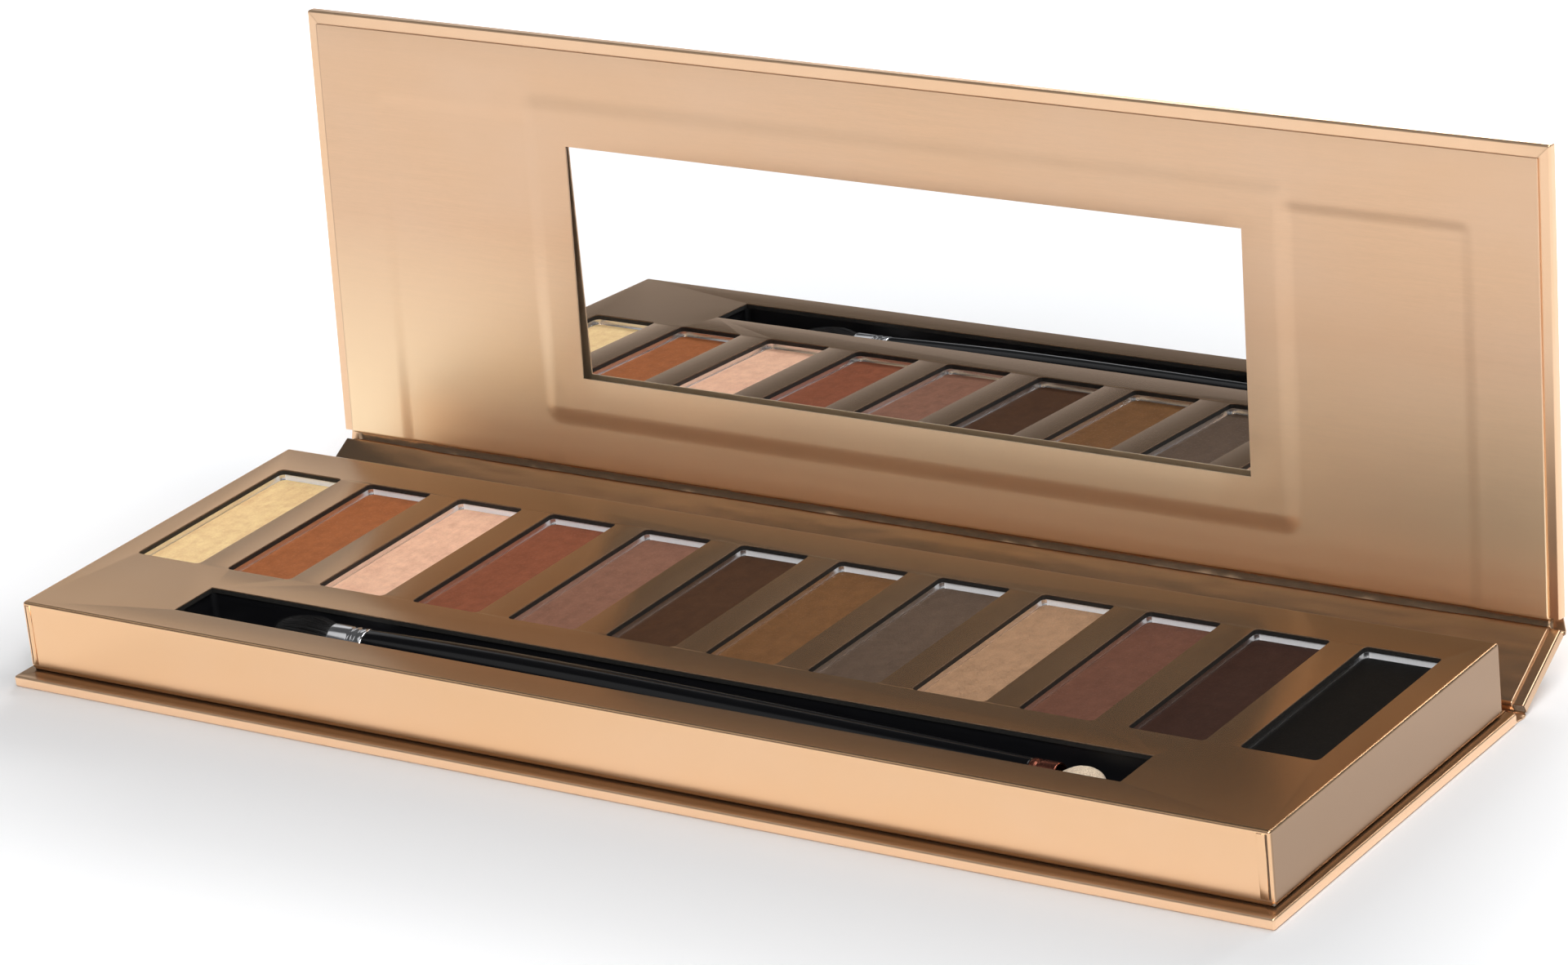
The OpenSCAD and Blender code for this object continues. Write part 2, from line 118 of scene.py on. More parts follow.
def laid(fold, angle):
    """From a board's flat millimetres to its place in the row frame, in metres."""
    return Matrix.Translation(fold) @ Matrix.Rotation(angle, 4, "X") @ Matrix.Scale(MM, 4)


ON_BASE = Matrix.Scale(MM, 4)
ON_SPINE = laid(lower_fold, spine_rise)
ON_LOWER_FOLD = laid(lower_fold, 0.0)
ON_UPPER_FOLD = laid(upper_fold, spine_rise)
ON_LID = laid(upper_fold, spine_rise + lid_turn)
print("spine at", round(math.degrees(spine_rise), 1), "degrees, lid at",
      round(math.degrees(spine_rise + lid_turn), 1))

# %% [markdown]
# ## Writing shader maths
#
# A node tree is easier to read as a formula. One small class wraps a socket, so that `1 - mask` or
# `grain * 0.2 + 0.4` adds the Math nodes by itself. Everything that isn't plain arithmetic, such as
# a noise or a colour mix, goes through one method that takes the node's type, its options and its
# inputs.

# %% A socket that does arithmetic
class Value:
    def __init__(self, recipe, socket):
        self.recipe, self.socket = recipe, socket

    def math(self, operation, first, second):
        return self.recipe.node("Math", {"operation": operation}, {0: first, 1: second})

    def __add__(self, other):
        return self.math("ADD", self, other)

    def __radd__(self, other):
        return self.math("ADD", other, self)

    def __sub__(self, other):
        return self.math("SUBTRACT", self, other)

    def __rsub__(self, other):
        return self.math("SUBTRACT", other, self)

    def __mul__(self, other):
        return self.math("MULTIPLY", self, other)

    def __rmul__(self, other):
        return self.math("MULTIPLY", other, self)

    def __pow__(self, other):
        return self.math("POWER", self, other)

    def most(self, other):
        return self.math("MAXIMUM", self, other)


class Recipe:
    """One material: a Principled shader and the patterns that feed it."""

    def __init__(self, name, **constants):
        self.material = bpy.data.materials.new(name)
        self.material.use_nodes = True
        self.tree = self.material.node_tree
        self.tree.nodes.clear()
        output = self.tree.nodes.new("ShaderNodeOutputMaterial")
        self.shader = self.tree.nodes.new("ShaderNodeBsdfPrincipled")
        self.tree.links.new(self.shader.outputs[0], output.inputs["Surface"])
        for socket, value in constants.items():
            self.set(socket.replace("_", " "), value)

    def put(self, socket, value):
        if isinstance(value, Value):
            self.tree.links.new(value.socket, socket)
        else:
            socket.default_value = value

    def set(self, name, value):
        self.put(self.shader.inputs[name], value)

    def node(self, kind, settings=None, inputs=None, out=0):
        """Adds a node, sets its options and its inputs, and returns one of its outputs."""
        made = self.tree.nodes.new("ShaderNode" + kind)
        for key, value in (settings or {}).items():
            setattr(made, key, value)
        for key, value in (inputs or {}).items():
            self.put(made.inputs[key], value)
        return Value(self, made.outputs[out])

    def place(self, scale=(1.0, 1.0, 1.0), turn=0.0):
        """Object coordinates in millimetres, turned flat with the board, then stretched."""
        flat = self.node("Mapping", {}, {
            "Vector": self.node("TexCoord", out="Object"),
            "Rotation": (-turn, 0.0, 0.0), "Scale": (1 / MM, 1 / MM, 1 / MM)})
        return self.node("Mapping", {}, {"Vector": flat, "Scale": scale})

    def noise(self, where, scale, detail=4.0, rough=0.55):
        return self.node("TexNoise", {}, {
            "Vector": where, "Scale": scale, "Detail": detail, "Roughness": rough})

    def between(self, amount, low, high):
        """A colour from low to high by amount."""
        return self.node("Mix", {"data_type": "RGBA"}, {0: amount, 6: low, 7: high}, out=2)

    def spread(self, amount, low, high):
        """Stretches amount so that low becomes 0 and high becomes 1."""
        return self.node("MapRange", {"clamp": True}, {0: amount, 1: low, 2: high})

    def bump(self, height, distance_mm):
        self.set("Normal", self.node("Bump", {}, {
            "Height": height, "Distance": distance_mm * MM, "Strength": 1.0}))


def shade_of(colour, factor):
    """A colour made darker or lighter, with its alpha."""
    return tuple(min(c * factor, 1.0) for c in colour[:3]) + (1.0,)


print("shader helpers ready")

# %% [markdown]
# ## Metallic paper
#
# Case and tray are covered in pearlescent paper: a mica coating over paper whose fibres run along
# the case. The mica makes it behave like a rough metal, so it takes its brightness from what it
# faces: pale where it faces the table, brown where it faces the lid. Long thin noise makes the
# fibres, wide noise makes the cloudiness of the coating, and both also change the roughness. They
# change it only a little, because the denoiser treats metal above and below a roughness of about
# 0.27 differently, and a sheet that crossed this value would look blotchy. The same recipe serves
# every sheet, with its grain turned to lie along the board.
#
# Four areas differ, each painted light or shade. The tray's top is painted darker, more to the
# right and to the back, and so is the base's border in front of the tray: painted shade. The tray's
# end flaps are painted darker too, and the lid's lining is painted paler at its foot: painted
# light.
# Each is a mask made from the place on the case, so it needs no painted picture.

# %% Metallic paper
GOLD = (0.86, 0.54, 0.31)
PEACH_GOLD = (0.87, 0.575, 0.36)
# the next six colours: painted shade for the spine and for the tray's ends, top and back, painted
# light for the lid's foot, painted shadow for the base's border
SHADED_GOLD = (0.58, 0.37, 0.22)
END_PAINTED_SHADE = (0.25, 0.17, 0.115, 1.0)
TOP_PAINTED_SHADE = (0.50, 0.29, 0.145, 1.0)
BACK_PAINTED_SHADE = (0.33, 0.20, 0.11, 1.0)
FOOT_PAINTED_LIGHT = (1.0, 0.76, 0.49, 1.0)
MARGIN_PAINTED_SHADOW = (0.40, 0.245, 0.135, 1.0)
LINING_GOLD = (0.77, 0.505, 0.32)
TOP_Z = (11.9, 12.08)  # over these heights the tray's side turns into its top
LEFT_X, RIGHT_X = (-90.0, -45.0), (-45.0, 90.0)  # the top's painted shade deepens fast here, and then slowly
BACK_Y = (12.0, 27.0)  # and the painted shade is darkest past this, towards the lid
END_X = (99.82, 99.94)  # from the tray's faces to its end flaps
MARGIN_Z, MARGIN_Y = (1.40, 1.57), (-33.2, -32.5)  # onto the base's upper face, behind its edge
FOOT_Z = (12.0, 44.0)  # heights over which the lid's lining turns from painted light to plain


def metallic_paper(name, turn=0.0, colour=PEACH_GOLD, rough=0.31, metal=0.93, grain=0.12,
                   on_tray=False, foot_light=None, margin_shadow=None):
    """turn is the board's angle; the last two are colours of painted light and of painted shadow.
    """
    paper = Recipe(name, Specular_IOR_Level=0.4)
    fibres = paper.noise(paper.place((0.06, 1.2, 1.2), turn), 1.6, 6.0, 0.6)
    fine = paper.noise(paper.place((0.35, 3.0, 3.0), turn), 1.7, 3.0)
    clouds = paper.noise(paper.place((0.035, 0.06, 0.06), turn), 1.0, 3.0)
    patches = paper.spread(paper.noise(paper.place((0.02, 0.05, 0.05), turn), 0.8, 2.0), 0.40, 0.62)
    mica = paper.noise(paper.place((1.0, 1.0, 1.0), turn), 9.0, 2.0)
    streak = fibres * 0.6 + fine * 0.4
    strength = (patches * 0.7 + 0.3) * grain
    tint = 0.5 + (streak - 0.5) * 2.6 * strength
    body = paper.between(tint, shade_of(colour, 0.87), shade_of(colour, 1.11))
    pale = tuple(c + (1.0 - c) * 0.12 for c in colour) + (1.0,)
    body = paper.between(paper.spread(clouds, 0.35, 0.7) * 0.4, body, pale)
    at = paper.place()
    x, y, z = (paper.node("SeparateXYZ", {}, {"Vector": at}, out=axis) for axis in range(3))
    # painted shade: the tray's top is darkened, more to the right and towards the lid at the back
    if on_tray:
        top_shade_share = paper.spread(x, *LEFT_X) * 0.6 + paper.spread(x, *RIGHT_X) * 0.4
        brown = paper.between(paper.spread(y, *BACK_Y), TOP_PAINTED_SHADE, BACK_PAINTED_SHADE)
        body = paper.between(paper.spread(z, *TOP_Z) * top_shade_share, body, brown)
        # painted shade: the tray's end flaps are darkened
        body = paper.between(paper.spread(x.most(0.0 - x), *END_X) * 0.85, body, END_PAINTED_SHADE)
    # painted shadow: the base's border in front of the tray is darkened, as at the tray's foot
    if margin_shadow:
        in_margin_shadow = paper.spread(z, *MARGIN_Z) * paper.spread(y, *MARGIN_Y)
        body = paper.between(in_margin_shadow, body, margin_shadow)
    # painted light: the lid's lining is paler at its foot
    if foot_light:
        body = paper.between(1.0 - paper.spread(z, *FOOT_Z), body, foot_light)
    paper.set("Base Color", body)
    paper.set("Metallic", metal)
    paper.set("Roughness", rough + (streak - 0.5) * 0.25 * grain + (clouds - 0.5) * 0.04)
    paper.bump(streak * strength * 0.9 + mica * 0.05 * grain, 0.0004 + 0.004 * grain)
    return paper.material


lid_turned = spine_rise + lid_turn
cover_paper = metallic_paper("pearl_cover", margin_shadow=MARGIN_PAINTED_SHADOW)
lid_cover_paper = metallic_paper("pearl_lid_cover", lid_turned)
lid_lining_paper = metallic_paper("pearl_lid_lining", lid_turned, LINING_GOLD, rough=0.37,
                                  metal=0.88, grain=0.45, foot_light=FOOT_PAINTED_LIGHT)
# painted shade: the spine, its upper fold and the grooves take a darker copy of the paper colour
spine_paper = metallic_paper("pearl_spine", spine_rise, SHADED_GOLD, rough=0.25, metal=0.96)
tray_paper = metallic_paper("pearl_tray", colour=GOLD, rough=0.25, metal=0.95, grain=0.1,
                            on_tray=True)
print("paper recipes", [m.name for m in bpy.data.materials if m.name.startswith("pearl")])

# %% [markdown]
# ## Board, card and levelling sheet
#
# Greyboard is pressed waste paper: flecked, dull and brownish. The card under the tray's paper is
# dyed black right through. The paper's cut edge in every window and beside the front corner laps is
# painted dark brown as painted shade, so it reads as a thin dark line. The same fleck pattern
# serves them all, with other colours. The hidden boards keep their imported shapes and only get
# their finish.

# %% Board and card
def pressed_board(name, dark, light, rough):
    dark, light = (*dark, 1.0), (*light, 1.0)
    board = Recipe(name, Roughness=rough)
    flecks = board.noise(board.place(), 2.2, 5.0, 0.7)
    board.set("Base Color", board.between(board.spread(flecks, 0.35, 0.65), dark, light))
    board.set("Roughness", rough + (flecks - 0.5) * 0.1)
    board.bump(flecks, 0.03)
    return board.material


greyboard = pressed_board("greyboard", (0.20, 0.16, 0.12), (0.34, 0.29, 0.23), 0.9)
levelling_sheet = pressed_board("levelling_sheet", (0.55, 0.53, 0.48), (0.66, 0.64, 0.6), 0.9)
black_card = pressed_board("black_card", (0.006, 0.005, 0.004), (0.018, 0.015, 0.012), 0.75)
# painted shade: dark brown for the paper's cut edges in the windows and beside the corner laps
cut_edge_painted_shade = pressed_board("paper_edge_painted_shade", (0.10, 0.055, 0.028), (0.17, 0.10, 0.055), 0.8)

BOARD_NODES = ["base_board", "spine_board", "lid_back_board", "lid_face_board", "floor_board",
               "floor_spacers", "pan_riser", "long_walls", "end_walls"]
CARD_NODES = ["tray_card", "pan_carrier", "corner_blocks"]


def refinish(node, material):
    """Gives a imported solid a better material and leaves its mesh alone."""
    mesh = frame["nodes"][node].data
    mesh.materials.clear()
    mesh.materials.append(material)


for node in BOARD_NODES:
    refinish(node, greyboard)
for node in CARD_NODES:
    refinish(node, black_card)
refinish("base_infill", levelling_sheet)
print("refinished", len(BOARD_NODES) + len(CARD_NODES) + 1, "hidden boards and cards")

# %% [markdown]
# ## Metals
#
# The pans are thin tin-plated steel, drawn in one stroke, so their walls show faint lines. Their
# far walls take a whiter, matt copy of the tin, a painted highlight, so each pan ends in a white
# line. The ferrules are thin aluminium, one bright and one anodised reddish brown. One recipe draws
# the lines in all of them with a noise that is stretched along the metal.

# %% Metals
def drawn_metal(name, colour, rough, stretch, metallic=1.0):
    metal = Recipe(name, Metallic=metallic)
    scratch = metal.noise(metal.place(stretch), 2.0, 4.0)
    smudge = metal.noise(metal.place(), 0.35, 3.0)
    metal.set("Base Color", metal.between(scratch, shade_of(colour, 0.88), colour))
    metal.set("Roughness", rough + (scratch - 0.5) * 0.12 + (smudge - 0.5) * 0.10)
    metal.bump(scratch, 0.004)
    return metal.material


pan_tin = drawn_metal("pan_tin", (0.86, 0.86, 0.87, 1.0), 0.22, (0.3, 0.3, 5.0))
# painted highlight: a whiter, matt copy of the tin for the pans' far walls
pan_wall_painted_highlight = drawn_metal("pan_wall_painted_highlight", (0.98, 0.98, 0.99, 1.0), 0.45, (5.0, 0.3, 0.3), metallic=0.12)
bright_ferrule = drawn_metal("bright_ferrule", (0.88, 0.88, 0.9, 1.0), 0.16, (6.0, 0.6, 0.6))
brown_ferrule = drawn_metal("brown_ferrule", (0.34, 0.115, 0.075, 1.0), 0.26, (6.0, 0.6, 0.6))
magnet_steel = drawn_metal("magnet_steel", (0.5, 0.5, 0.52, 1.0), 0.3, (1.0, 1.0, 1.0))
refinish("lid_magnets", magnet_steel)
refinish("tray_magnets", magnet_steel)
print("metals", [m.name for m in (pan_tin, pan_wall_painted_highlight, bright_ferrule, brown_ferrule)])

# %% [markdown]
# ## Glass
#
# The mirror is a sheet of glass with silver behind it. Clear glass adds nothing to a mirror that is
# seen from this far, so one silver finish stands for both, with the slight haze of a cheap mirror.
# The edge of the sheet is another matter: it is near black, partly the glass's own dark edge and
# partly painted shadow under the lining's edge.

# %% Mirror silver and the glass edge round it
silver = Recipe("mirror_silver", Metallic=1.0)
haze = silver.noise(silver.place(), 0.12, 2.0)
silver.set("Base Color", (0.93, 0.94, 0.95, 1.0))
silver.set("Roughness", haze * 0.012)
mirror_silver = silver.material

# partly painted shadow: near black for the glass's own edge and the shadow under the lining
edge = Recipe("glass_edge_painted_shadow")
edge_tone = edge.noise(edge.place(), 0.8, 3.0)
edge.set("Base Color", edge.between(edge_tone, (0.03, 0.03, 0.025, 1.0),
                                    (0.07, 0.075, 0.065, 1.0)))
edge.set("Roughness", 0.25 + edge_tone * 0.2)
glass_edge_painted_shadow = edge.material
print("glass", mirror_silver.name, "and", glass_edge_painted_shadow.name)

# %% [markdown]
# ## Plastic and lacquer
#
# The trough is vacuum-formed black plastic, which comes out satin, and the handle is wood under
# gloss lacquer. Both are moulded or dipped, so their surface is even, with a very fine skin and a
# few rubbed places that are a little paler and rougher.

# %% Plastic and lacquer
def moulded(name, colour, rough, coat=0.0, shine=0.5):
    plastic = Recipe(name, Coat_Weight=coat, Coat_Roughness=0.05, Specular_IOR_Level=shine)
    skin = plastic.noise(plastic.place(), 3.5, 4.0)
    wear = plastic.noise(plastic.place((0.15, 1.0, 1.0)), 0.7, 4.0)
    plastic.set("Base Color", plastic.between(wear, colour, shade_of(colour, 1.6)))
    plastic.set("Roughness", rough + (wear - 0.5) * 0.12)
    plastic.bump(skin, 0.006)
    return plastic.material


trough_plastic = moulded("trough_plastic", (0.004, 0.004, 0.005, 1.0), 0.42)
handle_lacquer = moulded("handle_lacquer", (0.002, 0.002, 0.0025, 1.0), 0.16, coat=0.1, shine=0.25)
print("materials so far", len(bpy.data.materials))

# %% [markdown]
# ## Powders
#
# Eyeshadow is milled pigment and mica, pressed under cloth into its pan. The cake is matt, with a
# soft grain, and the shimmer shades carry mica that glints. One recipe takes a colour and a
# shimmer: three sizes of noise make the mottling of the blend, small Voronoi cells make the mica
# flakes, and the flakes are where the surface turns metallic and smooth.

# %% Pressed powder
SHADES = [  # name, colour, how much it shimmers
    ("pale_cream", (1.0, 0.66, 0.34), 0.15),
    ("copper_brown", (0.40, 0.135, 0.05), 0.55),
    ("peach_pink", (0.96, 0.545, 0.375), 0.25),
    ("red_brown", (0.265, 0.085, 0.043), 0.35),
    ("mauve_taupe", (0.255, 0.12, 0.078), 0.45),
    ("dark_brown", (0.072, 0.032, 0.015), 0.2),
    ("bronze", (0.185, 0.085, 0.032), 0.7),
    ("olive_grey", (0.118, 0.078, 0.054), 0.75),
    ("champagne", (0.42, 0.25, 0.145), 0.8),
    ("plum_brown", (0.155, 0.066, 0.042), 0.6),
    ("aubergine", (0.042, 0.018, 0.012), 0.2),
    ("black", (0.0035, 0.003, 0.0025), 0.1),
]


def pressed_powder(name, colour, shimmer):
    cake = Recipe("powder_" + name, Specular_IOR_Level=0.12)
    where = cake.place()
    fine = cake.noise(where, 5.0, 4.0, 0.65)
    blend = cake.noise(where, 0.55, 4.0, 0.6)
    rubbed = cake.noise(cake.place((1.6, 0.25, 1.0)), 0.8, 3.0)
    flakes = cake.node("TexVoronoi", {"feature": "F1"}, {"Vector": where, "Scale": 4.2}, out=1)
    glint = cake.spread(cake.node("SeparateColor", {}, {"Color": flakes}), 0.80, 0.98)
    tone = cake.spread(fine * 0.35 + blend * 0.45 + rubbed * 0.2, 0.38, 0.62)
    base = cake.between(tone, shade_of(colour, 0.82), shade_of(colour, 1.14))
    bright = shade_of(colour, 1.5)
    cake.set("Base Color", cake.between(glint * shimmer * 0.5, base, bright))
    cake.set("Metallic", glint * shimmer * 0.7 + shimmer * 0.15)
    cake.set("Roughness", 0.72 - glint * (0.3 * shimmer) + (fine - 0.5) * 0.15)
    cake.bump(fine * 0.6 + blend * 0.3 + glint * 0.1, 0.05)
    return cake.material


powders = [pressed_powder(*shade) for shade in SHADES]
print("powders", [name for name, colour, shimmer in SHADES])

# %% [markdown]
# ## From bmesh to a piece
#
# Every new piece ends the same way: its millimetres become metres in its place, its faces are
# checked to point outwards, it gets its finish, it is hung on the body it rides on, and the solids
# that it stands for are hidden.

# %% Piece helpers
def make_piece(name, bm, place, finish, body, stands_for=(), outwards=True):
    """finish is a material or a list of them; a piece without a body is left unattached."""
    if outwards:
        bmesh.ops.recalc_face_normals(bm, faces=bm.faces)
    bmesh.ops.transform(bm, matrix=place, verts=bm.verts)
    mesh = bpy.data.meshes.new(name)
    bm.to_mesh(mesh)
    bm.free()
    mesh.polygons.foreach_set("use_smooth", [True] * len(mesh.polygons))
    for material in finish if isinstance(finish, list) else [finish]:
        mesh.materials.append(material)
    piece = bpy.data.objects.new(name, mesh)
    scene.collection.objects.link(piece)
    if body:
        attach(piece, body)
    if stands_for:
        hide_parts(*stands_for)
    print(f"{name}: {len(mesh.polygons)} faces")
    return piece


def thicken(piece, thickness_mm):
    """Gives a sheet its thickness, inwards from the surface that shows."""
    wall = piece.modifiers.new("thickness", "SOLIDIFY")
    wall.thickness = thickness_mm * MM
    wall.offset = -1.0
    wall.use_even_offset = True
    return piece


def keep_flats(piece):
    """Weights the shading by face size, so that flat faces stay flat beside their round edges."""
    weighted = piece.modifiers.new("flat_faces", "WEIGHTED_NORMAL")
    weighted.mode = "FACE_AREA"
    weighted.weight = 80
    return piece


print("piece helpers ready")

# %% [markdown]
# ## Shapes that come back
#
# Folded board, pans, trough and tray all start from a block or a flat face, which is then cut by
# planes, rounded along some edges and pulled up or down. These few helpers wrap the operators that
# do it, so that each piece below reads like its making.

# %% Shape helpers
def block(bm, low, high):
    """A box between two corners."""
    low, high = Vector(low), Vector(high)
    place = Matrix.Translation((low + high) / 2) @ Matrix.Diagonal((*(high - low), 1.0))
    bmesh.ops.create_cube(bm, size=1.0, matrix=place)


def round_off(bm, geom, radius, segments=3, affect="EDGES"):
    bmesh.ops.bevel(bm, geom=geom, offset=radius, offset_type="OFFSET", segments=segments,
                    profile=0.5, affect=affect, clamp_overlap=True, material=-1)


def split(bm, faces, point, normal):
    """Cuts some faces by one plane."""
    edges, verts = {e for f in faces for e in f.edges}, {v for f in faces for v in f.verts}
    bmesh.ops.bisect_plane(bm, geom=faces + list(edges) + list(verts), dist=1e-5, plane_co=point,
                           plane_no=normal)


def cut(bm, axis, places, faces=None):
    """Cuts the mesh, or some of its faces, by planes across one axis."""
    normal = Vector((0, 0, 0))
    normal[axis] = 1.0
    for at in places:
        split(bm, bm.faces[:] if faces is None else faces(bm), normal * at, normal)


def flat_face(bm, low, high, z=0.0):
    """A face between two corners, facing up. Returns its vertices."""
    made = bmesh.ops.create_grid(bm, x_segments=1, y_segments=1, size=0.5)["verts"]
    for vert in made:
        vert.co = Vector((high[0] if vert.co.x > 0 else low[0],
                          high[1] if vert.co.y > 0 else low[1], z))
    return made


def verts_of(geom):
    return [g for g in geom if isinstance(g, bmesh.types.BMVert)]


def face_of(geom):
    return next(g for g in geom if isinstance(g, bmesh.types.BMFace))


def lift(bm, face, to):
    """Extrudes a face straight to a height and returns the new face."""
    made = bmesh.ops.extrude_face_region(bm, geom=[face])["geom"]
    for vert in verts_of(made):
        vert.co.z = to
    return face_of(made)


def sink(bm, face, to):
    """Pushes a face of a solid down to a height, which opens a hollow."""
    lowered = lift(bm, face, to)
    bmesh.ops.delete(bm, geom=[face], context="FACES_ONLY")
    return lowered


def middle(item):
    """Centre of a face or an edge."""
    return sum((v.co for v in item.verts), Vector()) / len(item.verts)


def smooth_step(low, high, at):
    share = min(max((at - low) / (high - low), 0.0), 1.0)
    return share * share * (3.0 - 2.0 * share)


def spaced(low, high, step):
    """Places from low to high, about a step apart."""
    count = max(1, round((high - low) / step))
    return [low + (high - low) * i / count for i in range(count + 1)]


print("shape helpers ready")

# %% [markdown]
# ## Cover paper round the boards
#
# A case maker glues the cover paper to the outside of the boards and turns about 11 mm of it in
# over each edge. We start from a block of the board's size, open the ends where the paper runs on
# into a fold, round the wrapped edges as paper does, and cut away the top face inside the
# turned-in strips. Solidify then makes it a sheet. At each wrapped corner the two strips meet in a
# mitre, which we press in as a fine groove.

# %% Wrapped board
EDGE_R = 0.35
MITRE_HALF, MITRE_DEPTH = 0.14, 0.07


def wrapped_board(name, y, sheet, turned, place, finish, body, node):
    """Cover paper round a board from y[0] to y[1]; turned says which ends it is turned in over."""
    bm = bmesh.new()
    block(bm, (-HALF_W, y[0], 0), (HALF_W, y[1], WRAPPED))
    open_ends = [f for f in bm.faces if abs(f.normal.y) > 0.9
                 and not turned[0 if f.normal.y < 0 else 1]]
    bmesh.ops.delete(bm, geom=open_ends, context="FACES")
    round_off(bm, [e for e in bm.edges if len(e.link_faces) == 2], EDGE_R)
    bare = (y[0] + TURNED if turned[0] else y[0], y[1] - TURNED if turned[1] else y[1])
    top = lambda mesh: [f for f in mesh.faces if middle(f).z > WRAPPED - 1e-4]
    cut(bm, 0, [-BARE_HALF, BARE_HALF], top)
    cut(bm, 1, [b for b, t in zip(bare, turned) if t], top)
    inside = [f for f in top(bm)
              if abs(middle(f).x) < BARE_HALF and bare[0] < middle(f).y < bare[1]]
    bmesh.ops.delete(bm, geom=inside, context="FACES")
    for end in (0, 1):
        if turned[end]:
            mitre(bm, y[end], 1 if end else -1)
        if sheet[end] != y[end]:
            run_on(bm, y[end], sheet[end])
    piece = make_piece(name, bm, place, finish, body, [node], outwards=False)
    keep_flats(thicken(piece, PAPER))


def run_on(bm, end, to):
    """Carries the outer sheet on past a board's open end."""
    lip = [e for e in bm.edges if e.is_boundary and all(abs(v.co.y - end) < 1e-4 for v in e.verts)
           and all(v.co.z < 1e-4 for v in e.verts)]
    made = bmesh.ops.extrude_edge_only(bm, edges=lip)["geom"]
    for vert in verts_of(made):
        vert.co.y = to
        vert.co.x = math.copysign(HALF_W, vert.co.x)


def mitre(bm, end, way):
    """Presses the mitre line into the turned-in strips at both corners of one end."""
    for side in (-1, 1):
        corner = Vector((side * HALF_W, end, WRAPPED))
        across = Vector((side, -way, 0)).normalized()
        for shift in (-MITRE_HALF, 0.0, MITRE_HALF):
            faces = []
            for face in (f for f in bm.faces if middle(f).z > WRAPPED - 0.4):
                x, y, z = middle(face)
                on_side = side * x > BARE_HALF - 1 and (middle(face) - corner).length < 80
                on_end = side * x > 0 and abs(y - end) < TURNED + 1
                if on_side or on_end:
                    faces.append(face)
            split(bm, faces, corner + across * shift, across)
        for vert in bm.verts:
            on_line = abs((vert.co - corner).dot(across)) < 0.02 and vert.co.z > WRAPPED - 0.05
            if on_line and side * vert.co.x > BARE_HALF - 0.1:
                vert.co.z -= MITRE_DEPTH


wrapped_board("base_cover", (-HALF_D, HALF_D - HINGE_GAP), (-HALF_D, HALF_D - FOLD_HALF),
              (True, False), ON_BASE, cover_paper, "base", "base_wrap")
wrapped_board("spine_cover", (SPINE_GAP, SPINE_LEN - SPINE_GAP), (FOLD_HALF, SPINE_LEN - FOLD_HALF),
              (False, False), ON_SPINE, spine_paper, "spine", "spine_wrap")
wrapped_board("lid_cover", (HINGE_GAP, LID_LEN), (FOLD_HALF, LID_LEN),
              (False, True), ON_LID, lid_cover_paper, "lid", "lid_wrap")

# %% [markdown]
# ## Lining paper
#
# The lining hides the turned-in edges. It is glued down wet, so it takes the shape of all that lies
# under it: it stands 0.2 mm higher over the strips, it climbs over the hidden edge of the mirror,
# and at a fold it rolls over the board's edge into the groove. We cut a flat grid mostly where the
# surface changes, and set the height of each point by a function of its place, as a hand would
# rub the paper down.

# %% Lining helpers
GROOVE_FOOT = PAPER + LINER  # height of the lining's face where it enters a groove
ROLL = 0.6  # radius of the lining where it rolls over a board's edge
BEND = ROLL * math.pi / 2  # length of the paper in that roll
DROP = LINED - ROLL - GROOVE_FOOT  # and from the roll straight down to the groove


def sheet_grid(xs, ys):
    """A flat sheet with lines at these places, facing up."""
    bm = bmesh.new()
    flat_face(bm, (xs[0], ys[0]), (xs[-1], ys[-1]))
    cut(bm, 0, sorted(xs)[1:-1])
    cut(bm, 1, sorted(ys)[1:-1])
    return bm


def roll_over(vert, edge, way, top):
    """Bends what reaches past an edge down over it. way is -1 at a low end and 1 at a high end."""
    start = edge - way * ROLL
    past = way * (vert.co.y - start)
    if past <= 0:
        vert.co.z = top
        return
    angle = min(past / ROLL, math.pi / 2)
    down = max(past - BEND, 0.0) * (top - ROLL - GROOVE_FOOT) / DROP
    vert.co.y = start + way * ROLL * math.sin(angle)
    vert.co.z = top - ROLL * (1 - math.cos(angle)) - down


def unevenness(x, y, size, seed):
    return noise.noise(Vector((x / size, y / size, seed)))


def make_lining(name, bm, place, finish, body, node):
    piece = make_piece(name, bm, place, finish, body, [node], outwards=False)
    keep_flats(thicken(piece, LINER))


def both(places):
    """Places mirrored about the middle."""
    return [-p for p in reversed(places)] + list(places)


tail = BEND + DROP
print("a lining reaches", round(tail, 2), "mm past the start of its roll")

# %% [markdown]
# ## Lining on the base and on the spine
#
# The base's lining is flat under the tray and only rolls over at the back. The spine is a narrow
# strip between two grooves, so its lining rolls over at both sides, and there the paper stays
# slightly wavy along the spine, because it was rubbed down with a bone folder.

# %% Lining on the base and on the spine
BASE_LINING_HALF = 99.6
BASE_LINING_FRONT = -HALF_D + 3.0  # hidden under the tray
SPINE_STEP = 7.0  # the stiff spine lining climbs onto the turned-in paper more slowly

base_edge = HALF_D - HINGE_GAP + LINER
bm = sheet_grid(spaced(-BASE_LINING_HALF, BASE_LINING_HALF, 8.0),
                spaced(BASE_LINING_FRONT, base_edge - ROLL, 6.0)
                + spaced(base_edge - ROLL, base_edge - ROLL + tail, 0.17)[1:])
for vert in bm.verts:
    roll_over(vert, base_edge, 1, LINED)
make_lining("base_lining", bm, ON_BASE, cover_paper, "base", "base_liner")

